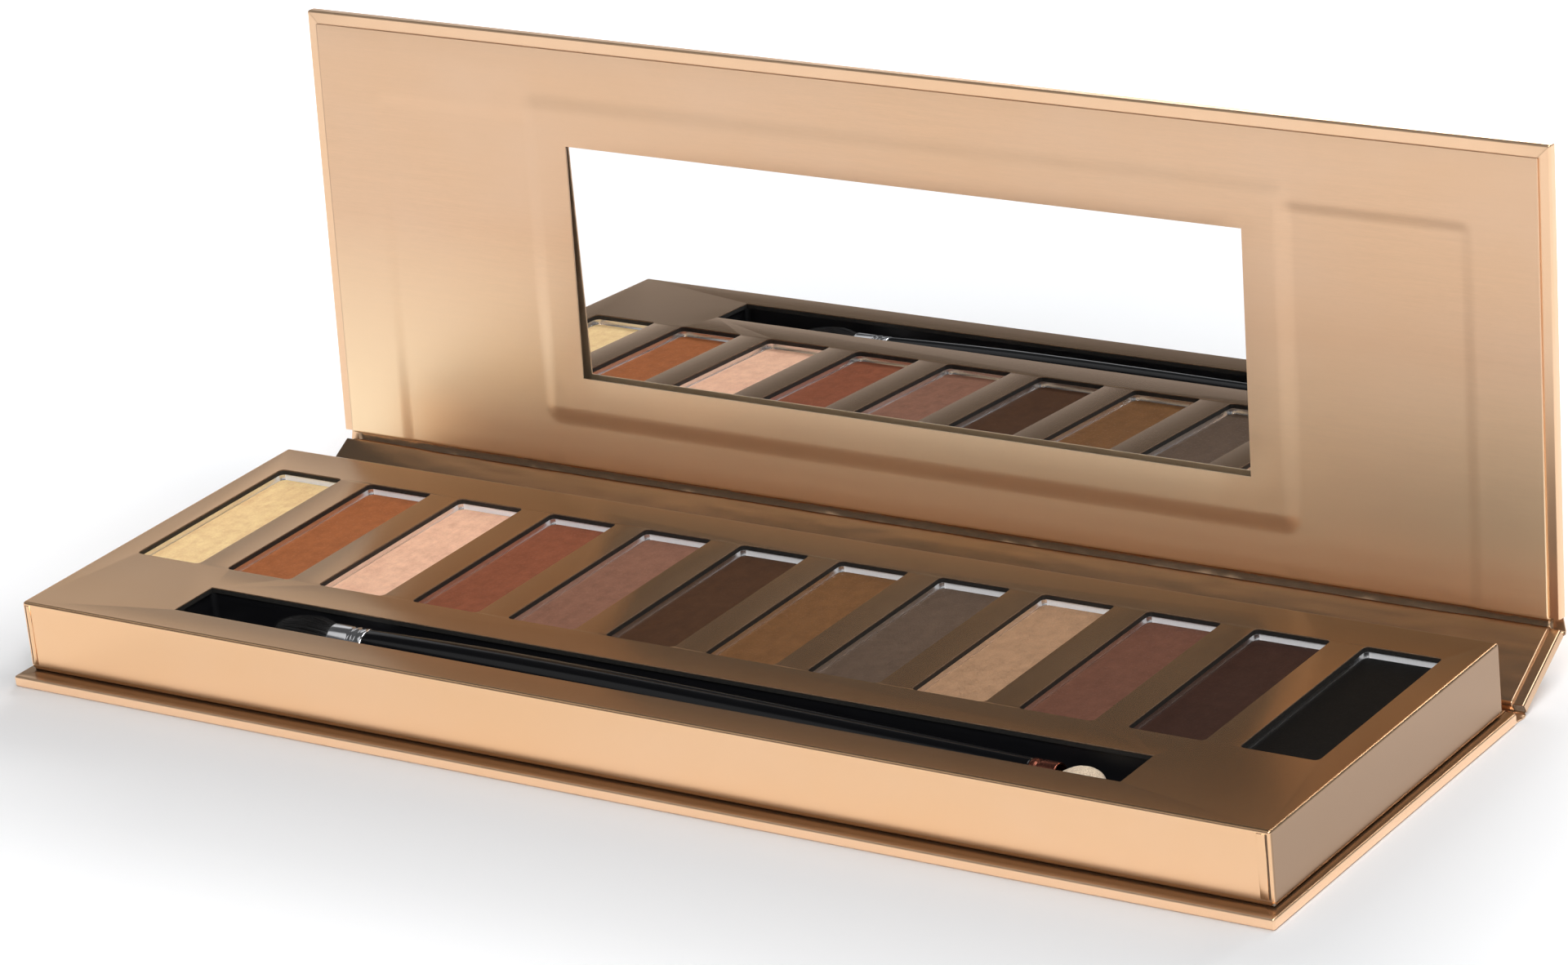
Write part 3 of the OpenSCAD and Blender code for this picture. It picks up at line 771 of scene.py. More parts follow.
spine_edges = (SPINE_GAP - LINER, SPINE_LEN - SPINE_GAP + LINER)
spine_lines = both(spaced(BARE_HALF - SPINE_STEP, BARE_HALF, 1.4) + spaced(90.6, 97.0, 1.6)
                   + [LINING_HALF - 0.2])
bm = sheet_grid(
    [-LINING_HALF] + spine_lines + spaced(-82.0, 82.0, 1.6) + [LINING_HALF],
    spaced(spine_edges[0] + ROLL - tail, spine_edges[0] + ROLL, 0.17)
    + spaced(spine_edges[0] + ROLL, spine_edges[1] - ROLL, 0.7)[1:-1]
    + spaced(spine_edges[1] - ROLL, spine_edges[1] - ROLL + tail, 0.17))
for vert in bm.verts:
    x, y = vert.co.x, vert.co.y
    top = LINED - PAPER * (1 - smooth_step(BARE_HALF - SPINE_STEP, BARE_HALF, abs(x)))
    top += 0.05 * unevenness(x * 0.4, y * 2.2, 2.4, 3.0) * smooth_step(0.5, 3.0, y)
    high = y >= SPINE_LEN / 2
    roll_over(vert, spine_edges[high], 1 if high else -1, top)
make_lining("spine_lining", bm, ON_SPINE, spine_paper, "spine", "spine_liner")

# %% [markdown]
# ## Lining on the lid
#
# The lid's lining has a window for the mirror. The paper dips where the board is bare and rises
# again over the turned-in strips and over the glass, which is why two panels beside the mirror seem
# embossed. One function gives its height anywhere, from the distance to the strips and to the
# plate, and a little unevenness keeps the light on it from looking ruled.

# %% Lining on the lid, over the strips and the mirror's hidden edge
WINDOW_X, WINDOW_Y = 55.5, (16.2, 51.2)
PLATE_X, PLATE_Y = 60.1, (11.6, 55.8)
STEP = 2.4  # width over which the lining climbs onto the turned-in paper
MOUND = 2.15  # the lining's height over the mirror's edge
SLOPE = 3.2  # width over which it climbs there


def lid_height(x, y):
    bare = 1 - smooth_step(BARE_HALF - STEP, BARE_HALF, abs(x))
    bare *= 1 - smooth_step(LID_LEN - TURNED - STEP, LID_LEN - TURNED, y)
    height = LINED - PAPER * bare
    away = math.hypot(max(abs(x) - PLATE_X, 0.0), max(PLATE_Y[0] - y, y - PLATE_Y[1], 0.0))
    height += (MOUND - height) * (1 - smooth_step(0.0, SLOPE, away))
    loose = smooth_step(0.5, 6.0, min(abs(abs(x) - WINDOW_X), LINING_HALF - abs(x)) + 1.0)
    return height + 0.02 * loose * unevenness(x, y, 16.0, 1.0)


lid_edge = HINGE_GAP - LINER
lid_lines = both([WINDOW_X] + spaced(PLATE_X, PLATE_X + SLOPE, 0.25) + spaced(66.0, 86.0, 4.0)
                 + spaced(BARE_HALF - STEP, BARE_HALF, 0.3) + [94.0, 97.5, LINING_HALF - 0.2])
bm = sheet_grid(
    [-LINING_HALF] + lid_lines + spaced(-50.0, 50.0, 5.0) + [LINING_HALF],
    spaced(lid_edge + ROLL - tail, lid_edge + ROLL, 0.16) + [4.5, 7.0]
    + spaced(PLATE_Y[0] - SLOPE, PLATE_Y[0], 0.25) + [WINDOW_Y[0]] + spaced(21.0, 47.0, 4.0)
    + [WINDOW_Y[1]] + spaced(LID_LEN - TURNED - STEP, PLATE_Y[1] + SLOPE, 0.3) + [61.0, 65.3])
window = [f for f in bm.faces if abs(middle(f).x) < WINDOW_X
          and WINDOW_Y[0] < middle(f).y < WINDOW_Y[1]]
bmesh.ops.delete(bm, geom=window, context="FACES")
for vert in bm.verts:
    roll_over(vert, lid_edge, -1, lid_height(vert.co.x, vert.co.y))
make_lining("lid_lining", bm, ON_LID, lid_lining_paper, "lid", "lid_liner")

# %% [markdown]
# ## Mirror
#
# The glass plate sits in a recess of the board, and the lining covers its edge. Its silver is on
# the back, and refraction makes it look about a third of a millimetre below the lining's underside.
# We model the plate as one block whose middle is sunk to where the silver seems to be. The plate is
# held by tape and leans forward by a degree in its recess, so the silver is deeper at its foot. The
# walls of that step stand for the edge of the glass and for the shadow under the lining's edge, and
# are painted almost black: partly the glass edge's own dark, partly painted shadow.

# %% Mirror plate
SILVER_Z, PLATE_Z = (0.88, 1.73), (0.85, 1.85)  # at the window's foot and head


def on_rim(co):
    return abs(abs(co.x) - PLATE_X) < 1e-4 or min(abs(co.y - y) for y in PLATE_Y) < 1e-4


bm = bmesh.new()
block(bm, (-PLATE_X, PLATE_Y[0], PLATE_Z[0]), (PLATE_X, PLATE_Y[1], PLATE_Z[1]))
face = max(bm.faces, key=lambda f: middle(f).z)
bmesh.ops.inset_region(bm, faces=[face], thickness=PLATE_X - WINDOW_X - 0.05, depth=0.0)
for vert in sink(bm, face, SILVER_Z[0]).verts:
    vert.co.z = SILVER_Z[vert.co.y > sum(PLATE_Y) / 2]
outer = [e for e in bm.edges
         if all(on_rim(v.co) for v in e.verts) and middle(e).z > PLATE_Z[0] + 0.1]
round_off(bm, outer, 0.12, 2)
bm.normal_update()
for face in bm.faces:
    silvered = face.normal.z > 0.9 and middle(face).z < PLATE_Z[1] - 0.1
    face.material_index = 0 if silvered else 1
mirror_piece = make_piece("mirror_plate", bm, ON_LID, [mirror_silver, glass_edge_painted_shadow], "lid",
                          ["mirror"])
mirror_piece.data.polygons.foreach_set("use_smooth", [False] * len(mirror_piece.data.polygons))

# %% [markdown]
# ## Folds
#
# At each fold the cover paper bends in a small arc on the outside, and the lining follows it in the
# groove, where it creases into short puckers. Both must bend when the case moves, so each is a
# piece of its own, hung on neither body. A short section is spun about the centre of the bend, then
# cut into narrow strips across, so that the puckers have something to move.

# %% Fold pieces
def push_on(bm, cap, length, turned_by=Matrix.Identity(3)):
    """Extrudes an end face by a length, in short steps, and returns the new end face."""
    count = round(length / 0.3)
    for step in range(count):
        made = bmesh.ops.extrude_face_region(bm, geom=[cap])["geom"]
        bmesh.ops.translate(bm, vec=turned_by @ Vector((0, length / count, 0)),
                            verts=verts_of(made))
        cap = face_of(made)
    return cap


def fold_piece(name, place, turn, flat, heights, finish, slot, node, tangent, pucker=0.0):
    """A bent strip: flat is its length before and after the fold, heights its two faces."""
    centre = Vector((0, -tangent, tangent / math.tan(turn / 2)))
    turned_by = Matrix.Rotation(turn, 3, "X")
    half = HALF_W if slot == "cover_paper" else LINING_HALF
    bm = bmesh.new()
    cap = bm.faces.new([bm.verts.new((x, -flat[0], z)) for x, z in (
        (-half, heights[0]), (half, heights[0]), (half, heights[1]), (-half, heights[1]))])
    cap = push_on(bm, cap, flat[0] - tangent)
    spun = bmesh.ops.spin(bm, geom=[cap] + list(cap.edges) + list(cap.verts), cent=centre,
                          axis=(1, 0, 0), dvec=(0, 0, 0), angle=turn, steps=8, use_merge=False)
    push_on(bm, face_of(spun["geom_last"]), flat[1] - tangent, turned_by)
    cut(bm, 0, spaced(-half, half, 0.9)[1:-1])
    bmesh.ops.recalc_face_normals(bm, faces=bm.faces)
    if pucker:
        for vert in bm.verts:
            before, after = vert.co.z, (turned_by.inverted() @ vert.co).z
            if min(before, after) > heights[1] - 0.12:
                ridge = noise.noise(Vector((vert.co.x / 1.6, vert.co.y / 1.1, vert.co.z / 1.1)))
                vert.co += vert.normal * (pucker * max(ridge - 0.05, 0.0))
    piece = make_piece(name, bm, place, finish, None, [node])
    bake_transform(piece)


fold_piece("lower_fold_paper", ON_LOWER_FOLD, spine_rise, (FOLD_HALF, FOLD_HALF), (0.0, PAPER),
           cover_paper, "cover_paper", "lower_crease", FOLD_HALF)
fold_piece("upper_fold_paper", ON_UPPER_FOLD, lid_turn, (FOLD_HALF, FOLD_HALF), (0.0, PAPER),
           spine_paper, "cover_paper", "upper_crease", FOLD_HALF)
fold_piece("lower_groove_lining", ON_LOWER_FOLD, spine_rise, (HINGE_GAP - LINER, 0.5),
           (PAPER, GROOVE_FOOT), spine_paper, "lining_paper", "lower_groove_liner",
           0.5, 0.25)
fold_piece("upper_groove_lining", ON_UPPER_FOLD, lid_turn, (0.5, HINGE_GAP - LINER),
           (PAPER, GROOVE_FOOT), spine_paper, "lining_paper", "upper_groove_liner",
           0.5, 0.25)

# %% [markdown]
# ## Tray
#
# The tray is one sheet of black card with its windows punched out, covered in the metallic paper,
# which also comes down over the four walls and curls in under them. We round the edges of a block,
# swap its top for a face with thirteen windows, filled from the window outlines, and thicken the
# whole to paper. The walls that we push down in every window, at the sheet's cut edge, are painted
# dark brown as painted shade.

# %% Tray skin
TRAY_X, TRAY_Y = 100.0, (-31.0, 30.0)
PAN_Y, PAN_PITCH, PAN_COUNT = 6.0, 16.35, 12
PAN_X = [(i - (PAN_COUNT - 1) / 2) * PAN_PITCH for i in range(PAN_COUNT)]
WELL_X, WELL_Y = (-76.9, 75.5), (-25.3, -16.9)
PUNCHED = (5.7, 16.8)  # half the size of a pan's window
SKIN_R = 0.5  # radius of the paper over the tray's edges
CURL = 0.18  # how far it curls in under the walls


def rounded_face(bm, low, high, z, radius, segments=4):
    """A flat face with round corners."""
    made = flat_face(bm, low, high, z)
    known = set(bm.faces) - set(made[0].link_faces)
    round_off(bm, made, radius, segments, "VERTICES")
    return next(f for f in bm.faces if f not in known)


def pan_field(x, half):
    """Two corners of a field of this half size round the middle of a pan."""
    return (x - half[0], PAN_Y - half[1]), (x + half[0], PAN_Y + half[1])


bm = bmesh.new()
block(bm, (-TRAY_X, TRAY_Y[0], LINED), (TRAY_X, TRAY_Y[1], TRAY_TOP))
bmesh.ops.delete(bm, geom=[min(bm.faces, key=lambda f: middle(f).z)], context="FACES_ONLY")
cut(bm, 2, [LINED + 0.6])
round_off(bm, [e for e in bm.edges if len(e.link_faces) == 2 and e.calc_face_angle() > 0.5],
          SKIN_R)
for vert in (v for v in bm.verts if v.co.z < LINED + 0.1):
    vert.co.x -= math.copysign(CURL, vert.co.x)
    vert.co.y -= math.copysign(CURL, vert.co.y - sum(TRAY_Y) / 2)
old_top = max(bm.faces, key=lambda f: (middle(f).z, f.calc_area()))
rim = list(old_top.edges)
bmesh.ops.delete(bm, geom=[old_top], context="FACES_ONLY")
windows = [rounded_face(bm, *pan_field(x, PUNCHED), TRAY_TOP, 0.8) for x in PAN_X]
windows.append(rounded_face(bm, *zip(WELL_X, WELL_Y), TRAY_TOP, 0.12, 2))
outlines = [e for f in windows for e in f.edges]
bmesh.ops.delete(bm, geom=windows, context="FACES_ONLY")
bmesh.ops.triangle_fill(bm, edges=rim + outlines, use_beauty=True, use_dissolve=False,
                        normal=(0, 0, 1))
punched = bmesh.ops.extrude_edge_only(bm, edges=outlines)["geom"]
for vert in verts_of(punched):
    vert.co.z -= PAPER
# painted shade: the window walls at the paper's cut edge are dark brown
for wall in (g for g in punched if isinstance(g, bmesh.types.BMFace)):
    wall.material_index = 1
bmesh.ops.recalc_face_normals(bm, faces=bm.faces)
skin = make_piece("tray_paper_skin", bm, ON_BASE, [tray_paper, cut_edge_painted_shade], "base",
                  ["tray_skin"], outwards=False)
keep_flats(thicken(skin, PAPER * 0.9))

# %% [markdown]
# ## Laps
#
# The tray's end flaps lap round onto its front, which leaves a narrow upright strip at each front
# corner, and beside it a thin dark strip, painted shade in the gap at the lap's edge. Both are so
# small that a rounded block each is enough. They stand out by a tenth of a millimetre at most.

# %% Laps at the front corners
def upright_strip(name, x, stands_out, finish):
    """A narrow strip up the tray's front, from x[0] to x[1]."""
    bm = bmesh.new()
    block(bm, (x[0], TRAY_Y[0] - stands_out, LINED + 0.75),
          (x[1], TRAY_Y[0] + 0.05, TRAY_TOP - 0.5))
    front = [e for e in bm.edges if middle(e).y < TRAY_Y[0] - stands_out / 2]
    round_off(bm, front, stands_out * 0.6, 2)
    make_piece(name, bm, ON_BASE, finish, "base")


upright_strip("corner_lap_right", (TRAY_X - 2.0, TRAY_X - 0.78), 0.10, tray_paper)
# painted shade: a thin dark strip in the gap at each lap's edge
upright_strip("corner_shade_strip_right", (TRAY_X - 0.80, TRAY_X - 0.52), 0.03, cut_edge_painted_shade)
upright_strip("corner_lap_left", (-TRAY_X + 0.72, -TRAY_X + 1.4), 0.10, tray_paper)
upright_strip("corner_shade_strip_left", (-TRAY_X + 0.50, -TRAY_X + 0.74), 0.03, cut_edge_painted_shade)

# %% [markdown]
# ## Pans and cakes
#
# Each pan is a shallow tin tray with a flat rim. It is glued under the card, so only its inner wall
# shows. A rounded face is pulled up to the rim, inset by the metal's thickness and pushed down
# again, which is what the press does. The cake fills it to just under the rim: its edge is a little
# low and soft where the press cloth let go, and its middle is very slightly crowned.

# %% Pan and cake
PAN_HALF = (6.15, 17.25)
PAN_Z = (7.9, CARD_UNDER)
PAN_R = 1.25  # radius of a pan's corners
TIN = 0.3  # thickness of the metal
CAKE_TOP = 10.5


def sharp_at(bm, z):
    """The sharp edges at one height."""
    return [e for e in bm.edges if abs(middle(e).z - z) < 1e-4 and e.calc_face_angle(0) > 1]


def make_pan(number, x):
    bm = bmesh.new()
    face = lift(bm, rounded_face(bm, *pan_field(x, PAN_HALF), PAN_Z[0], PAN_R), PAN_Z[1])
    bmesh.ops.inset_region(bm, faces=[face], thickness=TIN, depth=0.0)
    sink(bm, face, PAN_Z[0] + TIN)
    bmesh.ops.recalc_face_normals(bm, faces=bm.faces)
    round_off(bm, sharp_at(bm, PAN_Z[1]), 0.1, 2)
    round_off(bm, sharp_at(bm, PAN_Z[0]), 0.4)
    bm.normal_update()
    # the far wall, facing the front, takes the painted highlight
    for highlit_wall in (f for f in bm.faces if f.normal.y < -0.9 and middle(f).y > PAN_Y
                     and middle(f).z > PAN_Z[0] + TIN):
        highlit_wall.material_index = 1
    keep_flats(make_piece(f"pan_dish_{number:02d}", bm, ON_BASE, [pan_tin, pan_wall_painted_highlight], "base",
                          [f"pan_{number:02d}"]))


def make_cake(number, x, finish, slot):
    bm = bmesh.new()
    half = [size - TIN - 0.01 for size in PAN_HALF]
    face = rounded_face(bm, *pan_field(x, half), PAN_Z[0] + TIN, PAN_R - TIN - 0.01)
    face = lift(bm, face, CAKE_TOP - 0.16)
    for inset, rise in ((0.08, 0.07), (0.14, 0.05), (0.3, 0.02)):  # the soft edge
        bmesh.ops.inset_region(bm, faces=[face], thickness=inset, depth=0.0)
        for vert in face.verts:
            vert.co.z += rise
    top = lambda mesh: [f for f in mesh.faces if middle(f).z > CAKE_TOP - 0.03]
    cut(bm, 1, spaced(PAN_Y - 15.4, PAN_Y + 15.4, 1.4), top)
    cut(bm, 0, spaced(x - 4.2, x + 4.2, 1.2), top)
    for vert in bm.verts:
        inner = min(5.3 - abs(vert.co.x - x), 16.4 - abs(vert.co.y - PAN_Y))
        if inner > 0.05 and vert.co.z > CAKE_TOP - 0.03:
            wave = noise.noise(Vector((vert.co.x / 1.5, vert.co.y / 2.5, number)))
            vert.co.z += 0.03 * smooth_step(0.0, 3.5, inner) + 0.012 * wave
    make_piece(f"cake_{number:02d}", bm, ON_BASE, finish, "base",
               [f"powder_{number:02d}"])


for number, (x, powder, shade) in enumerate(zip(PAN_X, powders, SHADES), 1):
    make_pan(number, x)
    make_cake(number, x, powder, "powder_" + shade[0])

# %% [markdown]
# ## Brush trough
#
# A vacuum-formed trough has soft corners, because the hot sheet can't reach into a sharp one. We
# inset the top of a block by the wall's thickness, push the middle down to the floor and round what
# the sheet would round.

# %% Trough
TROUGH_X, TROUGH_Y, TROUGH_Z = (-77.5, 76.1), (-25.9, -16.3), (5.55, CARD_UNDER)
TROUGH_WALL = 0.4

bm = bmesh.new()
block(bm, *zip(TROUGH_X, TROUGH_Y, TROUGH_Z))
face = max(bm.faces, key=lambda f: middle(f).z)
bmesh.ops.inset_region(bm, faces=[face], thickness=TROUGH_WALL, depth=0.0)
sink(bm, face, TROUGH_Z[0] + TROUGH_WALL)
bmesh.ops.recalc_face_normals(bm, faces=bm.faces)
inside = [e for e in bm.edges if middle(e).z < TROUGH_Z[1] - 0.1 and e.calc_face_angle(0) > 1
          and all(TROUGH_X[0] + 0.2 < v.co.x < TROUGH_X[1] - 0.2 for v in e.verts)
          and all(TROUGH_Y[0] + 0.2 < v.co.y < TROUGH_Y[1] - 0.2 for v in e.verts)]
round_off(bm, inside, 0.9, 4)
keep_flats(make_piece("trough_shell", bm, ON_BASE, trough_plastic, "base",
                      ["brush_trough"]))

# %% [markdown]
# ## Brush
#
# The brush is turned, so its handle and both ferrules are profiles spun about their own line. The
# whole brush is modelled along X from the tip of its bristles and then laid in the well, slightly
# askew. A ferrule is crimped onto the handle, which presses two shallow rings into it.

# %% Turned parts
BRUSH_MIDDLE = Vector((3.25, -20.7, 9.0))
BRUSH_LEN, BRISTLE_LEN, FERRULE_END, HANDLE_END, SPONGE_START = 134.5, 11.0, 17.0, 124.0, 128.0
ASKEW = math.radians(-0.55)
IN_WELL = (ON_BASE @ Matrix.Translation(BRUSH_MIDDLE) @ Matrix.Rotation(ASKEW, 4, "Z")
           @ Matrix.Translation((-BRUSH_LEN / 2, 0, 0)))


def spin_profile(bm, profile, steps):
    """Spins a profile of (distance along the brush, radius) about the brush's own line."""
    verts = [bm.verts.new((x, 0, r)) for x, r in profile]
    edges = [bm.edges.new(pair) for pair in zip(verts, verts[1:])]
    if profile[0][1] > 0:
        edges.append(bm.edges.new((verts[-1], verts[0])))
    bmesh.ops.spin(bm, geom=verts + edges, cent=(0, 0, 0), axis=(1, 0, 0), dvec=(0, 0, 0),
                   angle=2 * math.pi, steps=steps, use_merge=True)


def turned(name, profile, finish, slot, node, steps=40):
    bm = bmesh.new()
    spin_profile(bm, profile, steps)
    bmesh.ops.remove_doubles(bm, verts=bm.verts, dist=1e-4)
    keep_flats(make_piece(name, bm, IN_WELL, finish, "brush", [node]))


HANDLE_STEPS = 40
TENON_R = 2.25  # the handle's peg in the bristle ferrule


def handle_radius(share):
    """Widest a quarter of the way along, then a long taper."""
    if share < 0.25:
        return 2.5 + 0.5 * math.sin(math.pi / 2 * share / 0.25)
    return 1.9 + 1.1 * math.cos(math.pi / 2 * (share - 0.25) / 0.75)


swell = [(FERRULE_END + (HANDLE_END - FERRULE_END) * i / HANDLE_STEPS,
          handle_radius(i / HANDLE_STEPS)) for i in range(HANDLE_STEPS + 1)]
swell[0] = (FERRULE_END + 0.25, swell[0][1])
swell[-1] = (HANDLE_END - 0.25, swell[-1][1])
turned("handle", [(14.5, 0.0), (14.5, TENON_R), (FERRULE_END, TENON_R),
                  (FERRULE_END + 0.05, 2.4)] + swell
       + [(HANDLE_END - 0.05, 1.8), (HANDLE_END, 1.65), (HANDLE_END + 1.25, 1.65),
          (HANDLE_END + 1.25, 0.0)], handle_lacquer, "handle_lacquer", "brush_handle")


def ferrule(start, end, radius, rings, wall=0.25):
    """Profile of a tube with rolled ends and crimped rings."""
    outer = [(start, radius - 0.12), (start + 0.08, radius - 0.03), (start + 0.22, radius)]
    for ring in rings:
        outer += [(ring - 0.35, radius), (ring - 0.15, radius - 0.14), (ring + 0.15, radius - 0.14),
                  (ring + 0.35, radius)]
    outer += [(end - 0.2, radius), (end - 0.05, radius - 0.04), (end, radius - 0.1)]
    return outer + [(end, radius - wall), (start, radius - wall)]


turned("bristle_tube", ferrule(BRISTLE_LEN, FERRULE_END, 2.5, (14.6, 15.7)), bright_ferrule,
       "ferrule_metal", "bristle_ferrule")
turned("sponge_tube", ferrule(HANDLE_END, SPONGE_START, 1.9, (125.2,)), brown_ferrule,
       "sponge_ferrule_metal", "sponge_ferrule", steps=32)

# %% [markdown]
# ## Bristles
#
# A tuft looks right only with real hairs, because the light runs along each one. We make one thin
# three-sided hair, copy it several hundred times on a sunflower spiral, and bend each copy from its
# root in the ferrule to its place on the dome. A plain core inside keeps the tuft from being
# see-through.

# %% Bristle finish
hair = Recipe("bristle", Specular_IOR_Level=0.5)
along_hair = hair.noise(hair.place((0.2, 4.0, 4.0)), 2.0, 3.0)
hair.set("Base Color", hair.between(along_hair, (0.004, 0.004, 0.004, 1.0),
                                    (0.028, 0.026, 0.026, 1.0)))
hair.set("Roughness", 0.38 + along_hair * 0.2)
print("hair finish", hair.material.name)

# %% [markdown]
# ## Tuft
#
# A bristle head is tied at its root, swells to a belly and closes to a dome. Each hair leaves the
# ferrule, bows out to its own radius on the belly and leans in a little at its tip. No two are cut
# quite alike, so a small random draw shifts every tip.

# %% Tuft
HAIRS, HAIR_STEPS = 760, 5
ROOT_R, BELLY_R = 2.15, 2.95
GOLDEN_TURN = 2.39996  # radians from one seed of a sunflower to the next
random.seed(4)
single = bmesh.new()
bmesh.ops.create_cone(single, cap_ends=True, segments=3, radius1=0.075, radius2=0.02, depth=1.0,
                      matrix=Matrix.Translation((0.5, 0, 0)) @ Matrix.Rotation(math.pi / 2, 4, "Y"))
cut(single, 0, [i / HAIR_STEPS for i in range(1, HAIR_STEPS)])
one_hair = bpy.data.meshes.new("one_hair")
single.to_mesh(one_hair)
single.free()

bm = bmesh.new()
for i in range(HAIRS):
    share = math.sqrt((i + 0.5) / HAIRS)
    angle = i * GOLDEN_TURN + random.uniform(-0.05, 0.05)
    tip_x = 0.05 + 5.4 * (1 - math.sqrt(1 - min(share, 0.999) ** 2)) + random.uniform(0.0, 0.5)
    root_r, belly_r = ROOT_R * share, BELLY_R * share
    first = len(bm.verts)
    bm.from_mesh(one_hair)
    bm.verts.ensure_lookup_table()
    for vert in bm.verts[first:]:
        run = vert.co.x  # 0 at the root, 1 at the tip
        x = BRISTLE_LEN + 0.8 + (tip_x - BRISTLE_LEN - 0.8) * run
        radius = root_r + (belly_r - root_r) * smooth_step(0.0, 0.6, run)
        radius *= 1 - 0.10 * smooth_step(0.7, 1.0, run)
        y, z = vert.co.y, vert.co.z
        vert.co = Vector((x, radius * math.cos(angle) + y, radius * math.sin(angle) + z))
bpy.data.meshes.remove(one_hair)

arc = [math.pi / 2 * i / 8 for i in range(9)]
dome = [(0.5 + 5.6 * (1 - math.cos(a)), 2.55 * math.sin(a)) for a in arc]
spin_profile(bm, dome + [(12.0, 2.1), (13.5, 2.1), (13.5, 0.0)], 20)
make_piece("bristle_tuft", bm, IN_WELL, hair.material, "brush", ["bristles"])

# %% [markdown]
# ## Foam tip
#
# The applicator is a small pad of fine foam, cut oval and glued on its ferrule. A sphere of many
# small faces is pressed into an oval that narrows to its root, and noise sinks its pores. The
# finish adds the pores that are too small to model, as bumps and as painted shade in each pore.

# %% Foam finish and tip
foam = Recipe("foam", Specular_IOR_Level=0.2, Sheen_Weight=0.15)
pores = foam.node("TexVoronoi", {"feature": "F1"}, {"Vector": foam.place(), "Scale": 5.5})
cells = foam.spread(pores, 0.1, 0.6)
# painted shade: the colour darkens in each pore
foam.set("Base Color", foam.between(cells, (0.50, 0.35, 0.23, 1.0), (0.86, 0.70, 0.52, 1.0)))
foam.set("Roughness", 0.95 - cells * 0.1)
foam.bump(cells, 0.08)

bm = bmesh.new()
bmesh.ops.create_icosphere(bm, subdivisions=5, radius=1.0)
SPONGE_X, SPONGE = 131.15, Vector((3.4, 2.4, 1.9))  # its middle on the brush and its half sizes
for vert in bm.verts:
    x, y, z = vert.co
    narrow = 1 - 0.30 * smooth_step(0.15, -1.0, x)
    pit = 0.02 * max(noise.noise(vert.co * 9.0), 0.0) + 0.012 * noise.noise(vert.co * 3.0)
    full = Vector((math.copysign(abs(x) ** 0.85, x), y, z)) * (1 - pit)
    vert.co = Vector((SPONGE_X + full.x * SPONGE.x, full.y * SPONGE.y * narrow,
                      full.z * SPONGE.z * narrow))
sponge = make_piece("foam_pad", bm, IN_WELL, foam.material, "brush", ["sponge_tip"])

# %% [markdown]
# ## Floor
#
# Metallic paper shows its studio, and the tray's front and the lid's upper half show the white
# table. A plain white table would come out grey in the palette's shadow and light grey elsewhere.
# Light Path adds a glow to it for the eye and for shiny surfaces alone, and only away from the
# base, so the table turns white without lighting the palette and the soft shadow stays.

# %% Floor
def ray_kind(recipe, name):
    """1 where a ray of this kind arrives, 0 for the others."""
    return Value(recipe, recipe.tree.nodes.new("ShaderNodeLightPath").outputs[name])


floor_bm = bmesh.new()
bmesh.ops.create_grid(floor_bm, x_segments=1, y_segments=1, size=3.0)
floor_mesh = bpy.data.meshes.new("floor")
floor_bm.to_mesh(floor_mesh)
floor_bm.free()
floor = bpy.data.objects.new("floor", floor_mesh)
floor.location.z = -0.00005  # just under the case, so that no two faces coincide
scene.collection.objects.link(floor)
table = Recipe("white_table", Roughness=0.9, Specular_IOR_Level=0.1, Emission_Strength=1.0)
table.set("Base Color", (0.76, 0.765, 0.775, 1.0))
beside = table.node("SeparateXYZ", {}, {"Vector": table.place()})
before = table.node("SeparateXYZ", {}, {"Vector": table.place()}, out=1)
beside = (beside.most(0.0 - beside) - HALF_W).most(0.0)
before = (before.most(0.0 - before) - HALF_D).most(0.0)
away = (beside * beside + before * before) ** 0.5  # millimetres from the base
to_eye = ray_kind(table, "Is Camera Ray") * (table.spread(away, 6.0, 60.0) * 0.36
                                              + table.spread(away, 60.0, 400.0) * 0.65)
to_shine = ray_kind(table, "Is Glossy Ray").most(ray_kind(table, "Is Transmission Ray"))
to_shine = to_shine * (table.spread(away, 40.0, 600.0) * 0.22 + 0.30)
table.set("Emission Color", table.between(to_eye.most(to_shine), (0.0, 0.0, 0.0, 1.0),
                                          (1.0, 1.0, 1.0, 1.0)))
floor_mesh.materials.append(table.material)
print("floor", floor.name, "with", table.material.name)

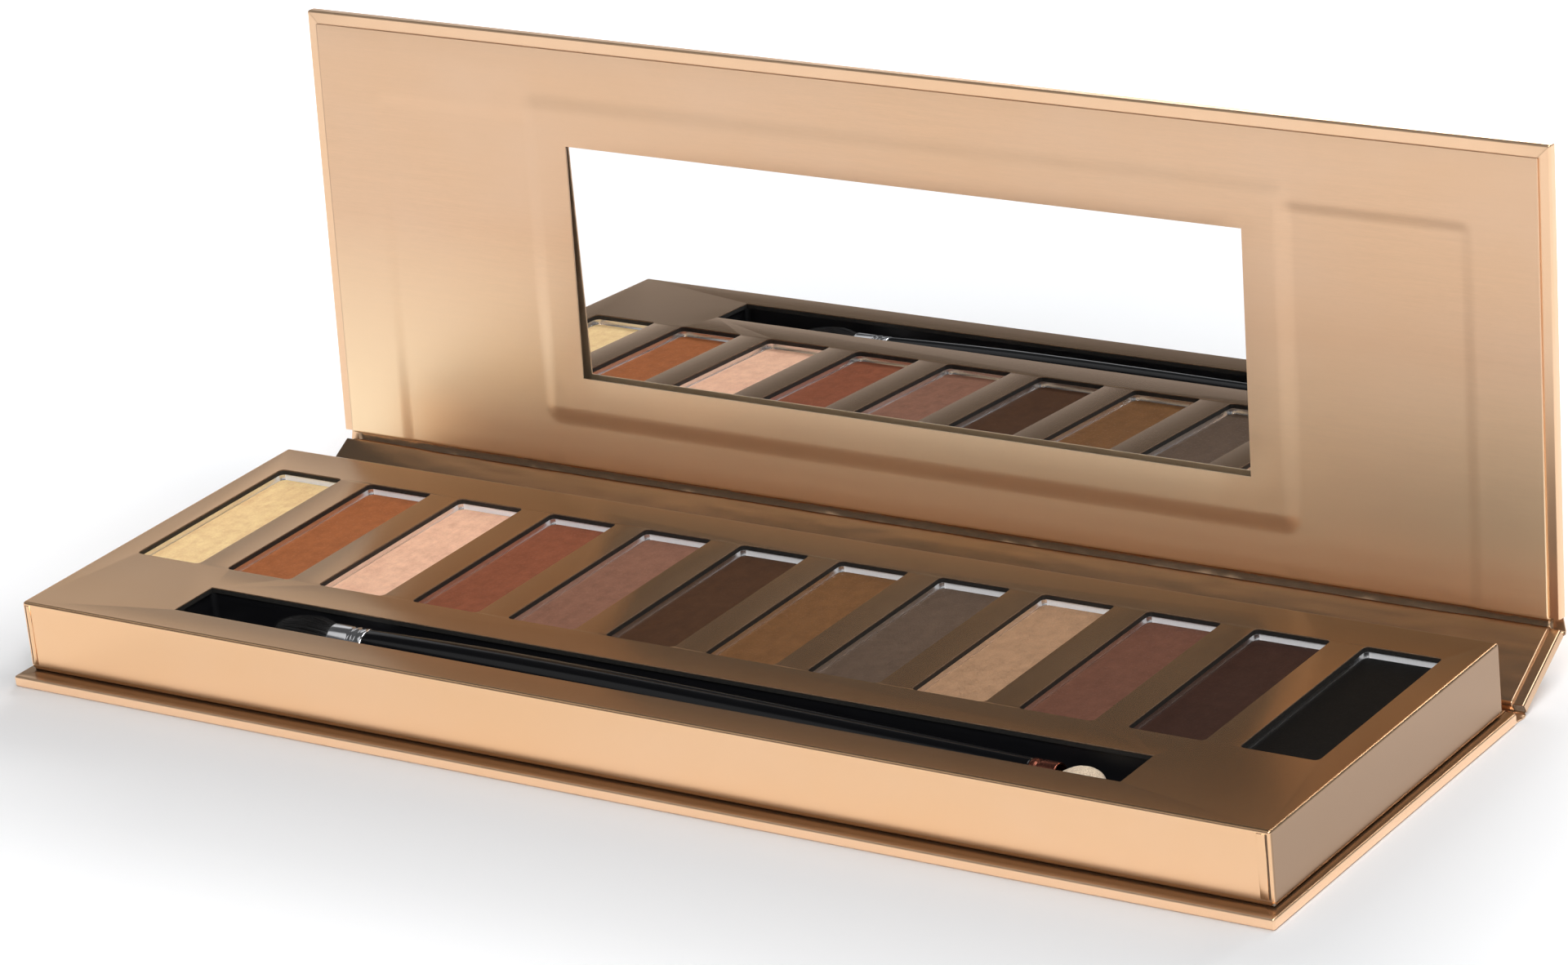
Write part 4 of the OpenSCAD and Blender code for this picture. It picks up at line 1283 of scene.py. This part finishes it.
# %% [markdown]
# ## Lamps and room
#
# The light is planned by what each face sees. A softbox at the front right lights the powders, the
# pans' far walls and the lid, and a large one overhead fills the shadows. A low one at the back
# throws the lid's shadow forward. Two weak panels draw the line along the case's front edge and
# grey the near end of the tray. The room is white at the horizon and nearly dark above, which is
# what the tray's top shows by way of the lid, and that turns it brown.

# %% Lamps and room
def softbox(name, place, aim, size, power):
    data = bpy.data.lights.new(name, "AREA")
    data.shape, data.size, data.size_y = "RECTANGLE", size[0], size[1]
    data.energy = power
    lamp = bpy.data.objects.new(name, data)
    lamp.location = place
    lamp.rotation_euler = (Vector(aim) - Vector(place)).to_track_quat("-Z", "Y").to_euler()
    scene.collection.objects.link(lamp)
    print(name, "radiance", round(power / (math.pi * size[0] * size[1]), 2))


def lit_from(azimuth, height, distance):
    """A place in the room, by its compass angle from +X and its height angle."""
    turn, rise = math.radians(azimuth), math.radians(height)
    return (distance * math.cos(rise) * math.cos(turn), distance * math.cos(rise) * math.sin(turn),
            distance * math.sin(rise))


softbox("front_softbox", lit_from(302, 46, 1.4), (0, 0, 0), (0.8, 0.5), 11.5)
softbox("overhead", lit_from(34, 68, 1.5), (0, 0, 0), (0.9, 0.9), 9.0)
softbox("back_softbox", lit_from(95, 29, 1.3), (0, 0, 0.03), (0.9, 0.26), 10.5)
softbox("edge_panel", lit_from(216, 50, 1.2), (0, 0, 0), (0.7, 0.4), 0.5)
softbox("back_left_panel", (-1.15, 1.15, 0.95), (0, 0, 0.02), (0.9, 0.6), 1.0)

world = bpy.data.worlds.new("studio")
scene.world = world
world.use_nodes = True
room = world.node_tree.nodes["Background"]
direction = world.node_tree.nodes.new("ShaderNodeTexCoord")
height = world.node_tree.nodes.new("ShaderNodeSeparateXYZ")
fade = world.node_tree.nodes.new("ShaderNodeMapRange")
fade.inputs["From Min"].default_value, fade.inputs["From Max"].default_value = 0.12, 0.26
fade.inputs["To Min"].default_value, fade.inputs["To Max"].default_value = 1.0, 0.08
for start, end in ((direction.outputs["Generated"], height.inputs[0]),
                   (height.outputs["Z"], fade.inputs["Value"]),
                   (fade.outputs[0], room.inputs["Strength"])):
    world.node_tree.links.new(start, end)
room.inputs["Color"].default_value = (0.97, 0.985, 1.0, 1.0)
